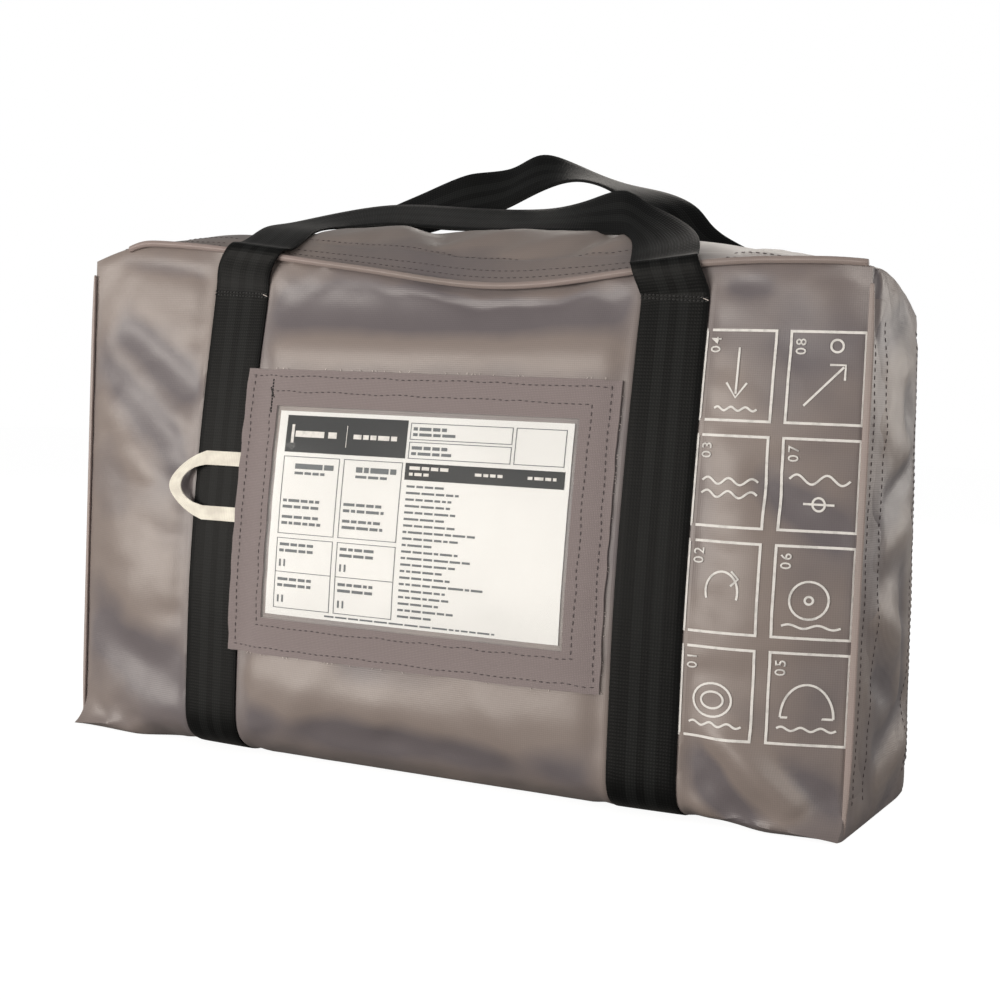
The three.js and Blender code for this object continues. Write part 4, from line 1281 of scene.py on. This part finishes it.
class VALISE_OT_stitching(bpy.types.Operator):
    """Rows of sewing on the pocket, hem, belts and gussets"""

    bl_idname = "valise.stitching"
    bl_label = "Stitching"

    def execute(self, context):
        inward = Vector((0, 1, 0))
        pocket = skin_tree(bpy.data.objects["pocket_cloth"])
        skin = skin_tree(bag())
        left, bottom, right, top = POCKET
        outer = [
            (left + 6, top - 5),
            (right - 7, top - 5),
            (right - 5, bottom + 5),
            (left + 6, bottom + 5),
            (left + 6, top - 5),
        ]
        spots = seam([pocket], on_front(outer), inward, wobble=0.0012)
        inner = [(-131, 286), (138, 285), (137, 107), (-129, 106), (-131, 286)]
        spots += seam([pocket], on_front(inner), inward, wobble=0.0012)
        sew("pocket_stitches", spots)
        knot = seam([pocket], on_front([(-131.5, 294), (-130, 270)]), inward, 0.0024)
        knot += seam([pocket], on_front([(-133, 288), (-128, 280)]), inward, 0.0016)
        sew("pocket_stitch_start", knot, "Black polyester thread", 0.0014, 0.95)

        belts = belt_trees()
        tacks, tufts = [], []
        for belt in BELTS:
            x = belt / MM
            for low in (362, 359.5):
                line = on_front([(x - 24.5, low + 1), (x + 24.5, low - 1)])
                tacks += seam(belts, line, inward, 0.003)
            tufts += seam(belts, on_front([(x + 20, 361), (x + 25, 359)]), inward, 0.0014)
        sew("belt_tack_stitches", tacks, "Black polyester thread", 0.0013, 0.9)
        sew("belt_tack_ends", tufts, "Pale cloth threads", 0.0007, 1.6)

        down = Vector((0, 0, -1))
        hem = skin_tree(bpy.data.objects["stitched_hem"])
        rows = []
        for back in (7, 13, 30):
            row = [(x * MM, SEAM_Y + back * MM, 0.6) for x in range(-300, 301, 10)]
            rows += seam([hem, skin], row, down)
        rows = [spot for spot in rows if min(abs(spot[0].x - belt) for belt in BELTS) > 0.029]
        sew("top_hem_stitches", rows)

        gusset = []
        for side in (-1, 1):
            across = Vector((-side, 0, 0))
            word = "right" if side > 0 else "left"
            trees = [skin]
            for place in ("front", "back"):
                trees.append(skin_tree(bpy.data.objects[f"{word}_gusset_{place}_cloth"]))
            for deep in (9, 30, 143, 162):
                row = [(side * 0.6, SEAM_Y + deep * MM, z * MM) for z in (24, 120, 240, 350)]
                gusset += seam(trees, row, across, wobble=0.001)
        sew("gusset_stitches", gusset)
        self.fray(skin, inward)
        return {"FINISHED"}

    def fray(self, skin, inward):
        """Short pale threads that stand out of the pocket's cut edge."""
        left, bottom, right, top = POCKET
        edges = (
            ((left, top), (right, top), (0, 1)),
            ((right, top), (right, bottom), (1, 0)),
            ((right, bottom), (left, bottom), (0, -1)),
            ((left, bottom), (left, top), (-1, 0)),
        )
        spots = []
        for number, ((x0, z0), (x1, z1), (ox, oz)) in enumerate(edges):
            for k in range(90):
                t = (k + 0.5) / 90
                chance = noise.cell(Vector((k * 1.37 + 40 * number, 3.3, 0.7)))
                if chance < 0.35:
                    continue
                long = 0.0008 + 0.0016 * chance
                lean = 0.8 * noise.cell(Vector((k * 2.11, 8.3, 5.0 * number)))
                ahead = Vector((ox + lean * oz, 0, oz + lean * ox))
                x, z = (x0 + (x1 - x0) * t) * MM, (z0 + (z1 - z0) * t) * MM
                start = Vector((x, AHEAD_Y, z)) + ahead * long * 0.4
                spot, normal, _, _ = skin.ray_cast(start, inward)
                if spot is not None:
                    spots.append((spot + normal * 0.0009, ahead, normal, long))
        sew("pocket_frayed_threads", spots, "Pale cloth threads", 0.0004, 1.0)


# Stage

CAMERA_PLACE = (0.60730, -1.09334 + SEAM_Y, 0.28425)
CAMERA_TURN = (26.68, 3.36, 2.29)
CAMERA_FOCAL = 1670.41


class VALISE_OT_stage(bpy.types.Operator):
    """Pale floor, soft studio lights and the camera"""

    bl_idname = "valise.stage"
    bl_label = "Stage"

    def execute(self, context):
        scene = context.scene
        turn, down, roll = (math.radians(v) for v in CAMERA_TURN)
        ahead = Vector((-math.sin(turn), math.cos(turn), 0))
        look = ahead * math.cos(down) - Vector((0, 0, math.sin(down)))
        level = Vector((math.cos(turn), math.sin(turn), 0))
        upright = level.cross(look)
        right = level * math.cos(roll) + upright * math.sin(roll)
        top = upright * math.cos(roll) - level * math.sin(roll)
        camera = add_object("camera", bpy.data.cameras.new("camera"))
        camera.matrix_world = Matrix(
            [(right[k], top[k], -look[k], CAMERA_PLACE[k]) for k in range(3)] + [(0, 0, 0, 1)]
        )
        camera.data.sensor_width = 36
        camera.data.lens = 36 * CAMERA_FOCAL / 1000
        scene.camera = camera

        bpy.ops.object.select_all(action="DESELECT")
        bpy.ops.mesh.primitive_plane_add(size=14, location=(0, 2, 0))
        floor = context.object
        floor.name = floor.data.name = "studio_floor"
        apply_place(floor)
        floor.data.materials.append(self.floor_material())

        warm = (1.0, 0.94, 0.87)
        self.lamp("key_softbox", (-1.4, -2.35, 0.36), (-0.05, 0, 0.22), (3.0, 0.75), 72, warm)
        self.lamp("side_softbox", (2.5, -1.0, 0.8), (0.3, 0, 0.2), (1.2, 1.2), 22, warm)
        self.lamp("rim_softbox", (1.5, 2.2, 0.55), (0.3, 0, 0.2), (1.2, 0.9), 10, warm)
        self.lamp("back_softbox", (-0.5, 2.5, 1.7), (0, 0.1, 0.2), (1.6, 1.2), 15, warm)
        self.backdrop(scene)
        scene.view_settings.view_transform = "Standard"
        return {"FINISHED"}

    def lamp(self, name, place, target, size, power, tone):
        data = bpy.data.lights.new(name, "AREA")
        data.shape = "RECTANGLE"
        data.size, data.size_y = size
        data.energy = power
        data.color = tone
        lamp = add_object(name, data)
        lamp.location = place
        lamp.rotation_euler = (Vector(target) - Vector(place)).to_track_quat("-Z", "Y").to_euler()
        lamp.visible_camera = False

    def floor_material(self):
        """Paper: white to the camera and through film, with its shadow, and little light."""
        material, tree, shader, _ = start_material(
            "White paper floor", {"Roughness": 0.9, "Specular IOR Level": 0.1}
        )
        shader.inputs["Base Color"].default_value = (*colours().floor, 1)
        shader.inputs["Emission Color"].default_value = (1, 1, 1, 1)
        glow = maths(tree, "MULTIPLY", self.seen_directly(tree), 0.93)
        feed(tree, shader, emission_strength=glow)
        return material

    def seen_directly(self, tree):
        """1 for rays of the camera, also through the film. Nothing here mirrors the studio."""
        rays = add_node(tree, "ShaderNodeLightPath").outputs
        return maths(tree, "MAXIMUM", rays["Is Camera Ray"], rays["Is Transmission Ray"])

    def backdrop(self, scene):
        """White to the camera, a soft grey as light."""
        world = bpy.data.worlds.new("studio")
        scene.world = world
        world.use_nodes = True
        tree = world.node_tree
        tree.nodes.clear()
        strength = ranged(tree, self.seen_directly(tree), to_min=0.22, to_max=1.0)
        glow = add_node(tree, "ShaderNodeBackground", {"Color": (1, 1, 1, 1), "Strength": strength})
        add_node(tree, "ShaderNodeOutputWorld", {"Surface": glow.outputs["Background"]})


class VALISE_PT_panel(bpy.types.Panel):
    """The valise's pieces, in the order they are made"""

    bl_idname = "VALISE_PT_panel"
    bl_label = "Liferaft Valise"
    bl_space_type = "VIEW_3D"
    bl_region_type = "UI"
    bl_category = "Valise"

    def draw(self, context):
        for operator in OPERATORS:
            self.layout.operator(operator.bl_idname)
        for group in (context.scene.valise_sizes, context.scene.valise_colours):
            column = self.layout.column(align=True)
            for name in group.__annotations__:
                column.prop(group, name)


OPERATORS = (
    VALISE_OT_stage,
    VALISE_OT_webbing,
    VALISE_OT_bag_body,
    VALISE_OT_edge_trims,
    VALISE_OT_pocket,
    VALISE_OT_card_print,
    VALISE_OT_pull_loop,
    VALISE_OT_screen_print,
    VALISE_OT_stitching,
)
CLASSES = (ValiseSizes, ValiseColours, *OPERATORS, VALISE_PT_panel)


def register():
    for item in CLASSES:
        bpy.utils.register_class(item)
    bpy.types.Scene.valise_sizes = bpy.props.PointerProperty(type=ValiseSizes)
    bpy.types.Scene.valise_colours = bpy.props.PointerProperty(type=ValiseColours)


def unregister():
    del bpy.types.Scene.valise_colours
    del bpy.types.Scene.valise_sizes
    for item in reversed(CLASSES):
        bpy.utils.unregister_class(item)


def main():
    register()
    for operator in OPERATORS:
        group, name = operator.bl_idname.split(".")
        getattr(getattr(bpy.ops, group), name)()


if __name__ == "__main__":
    main()
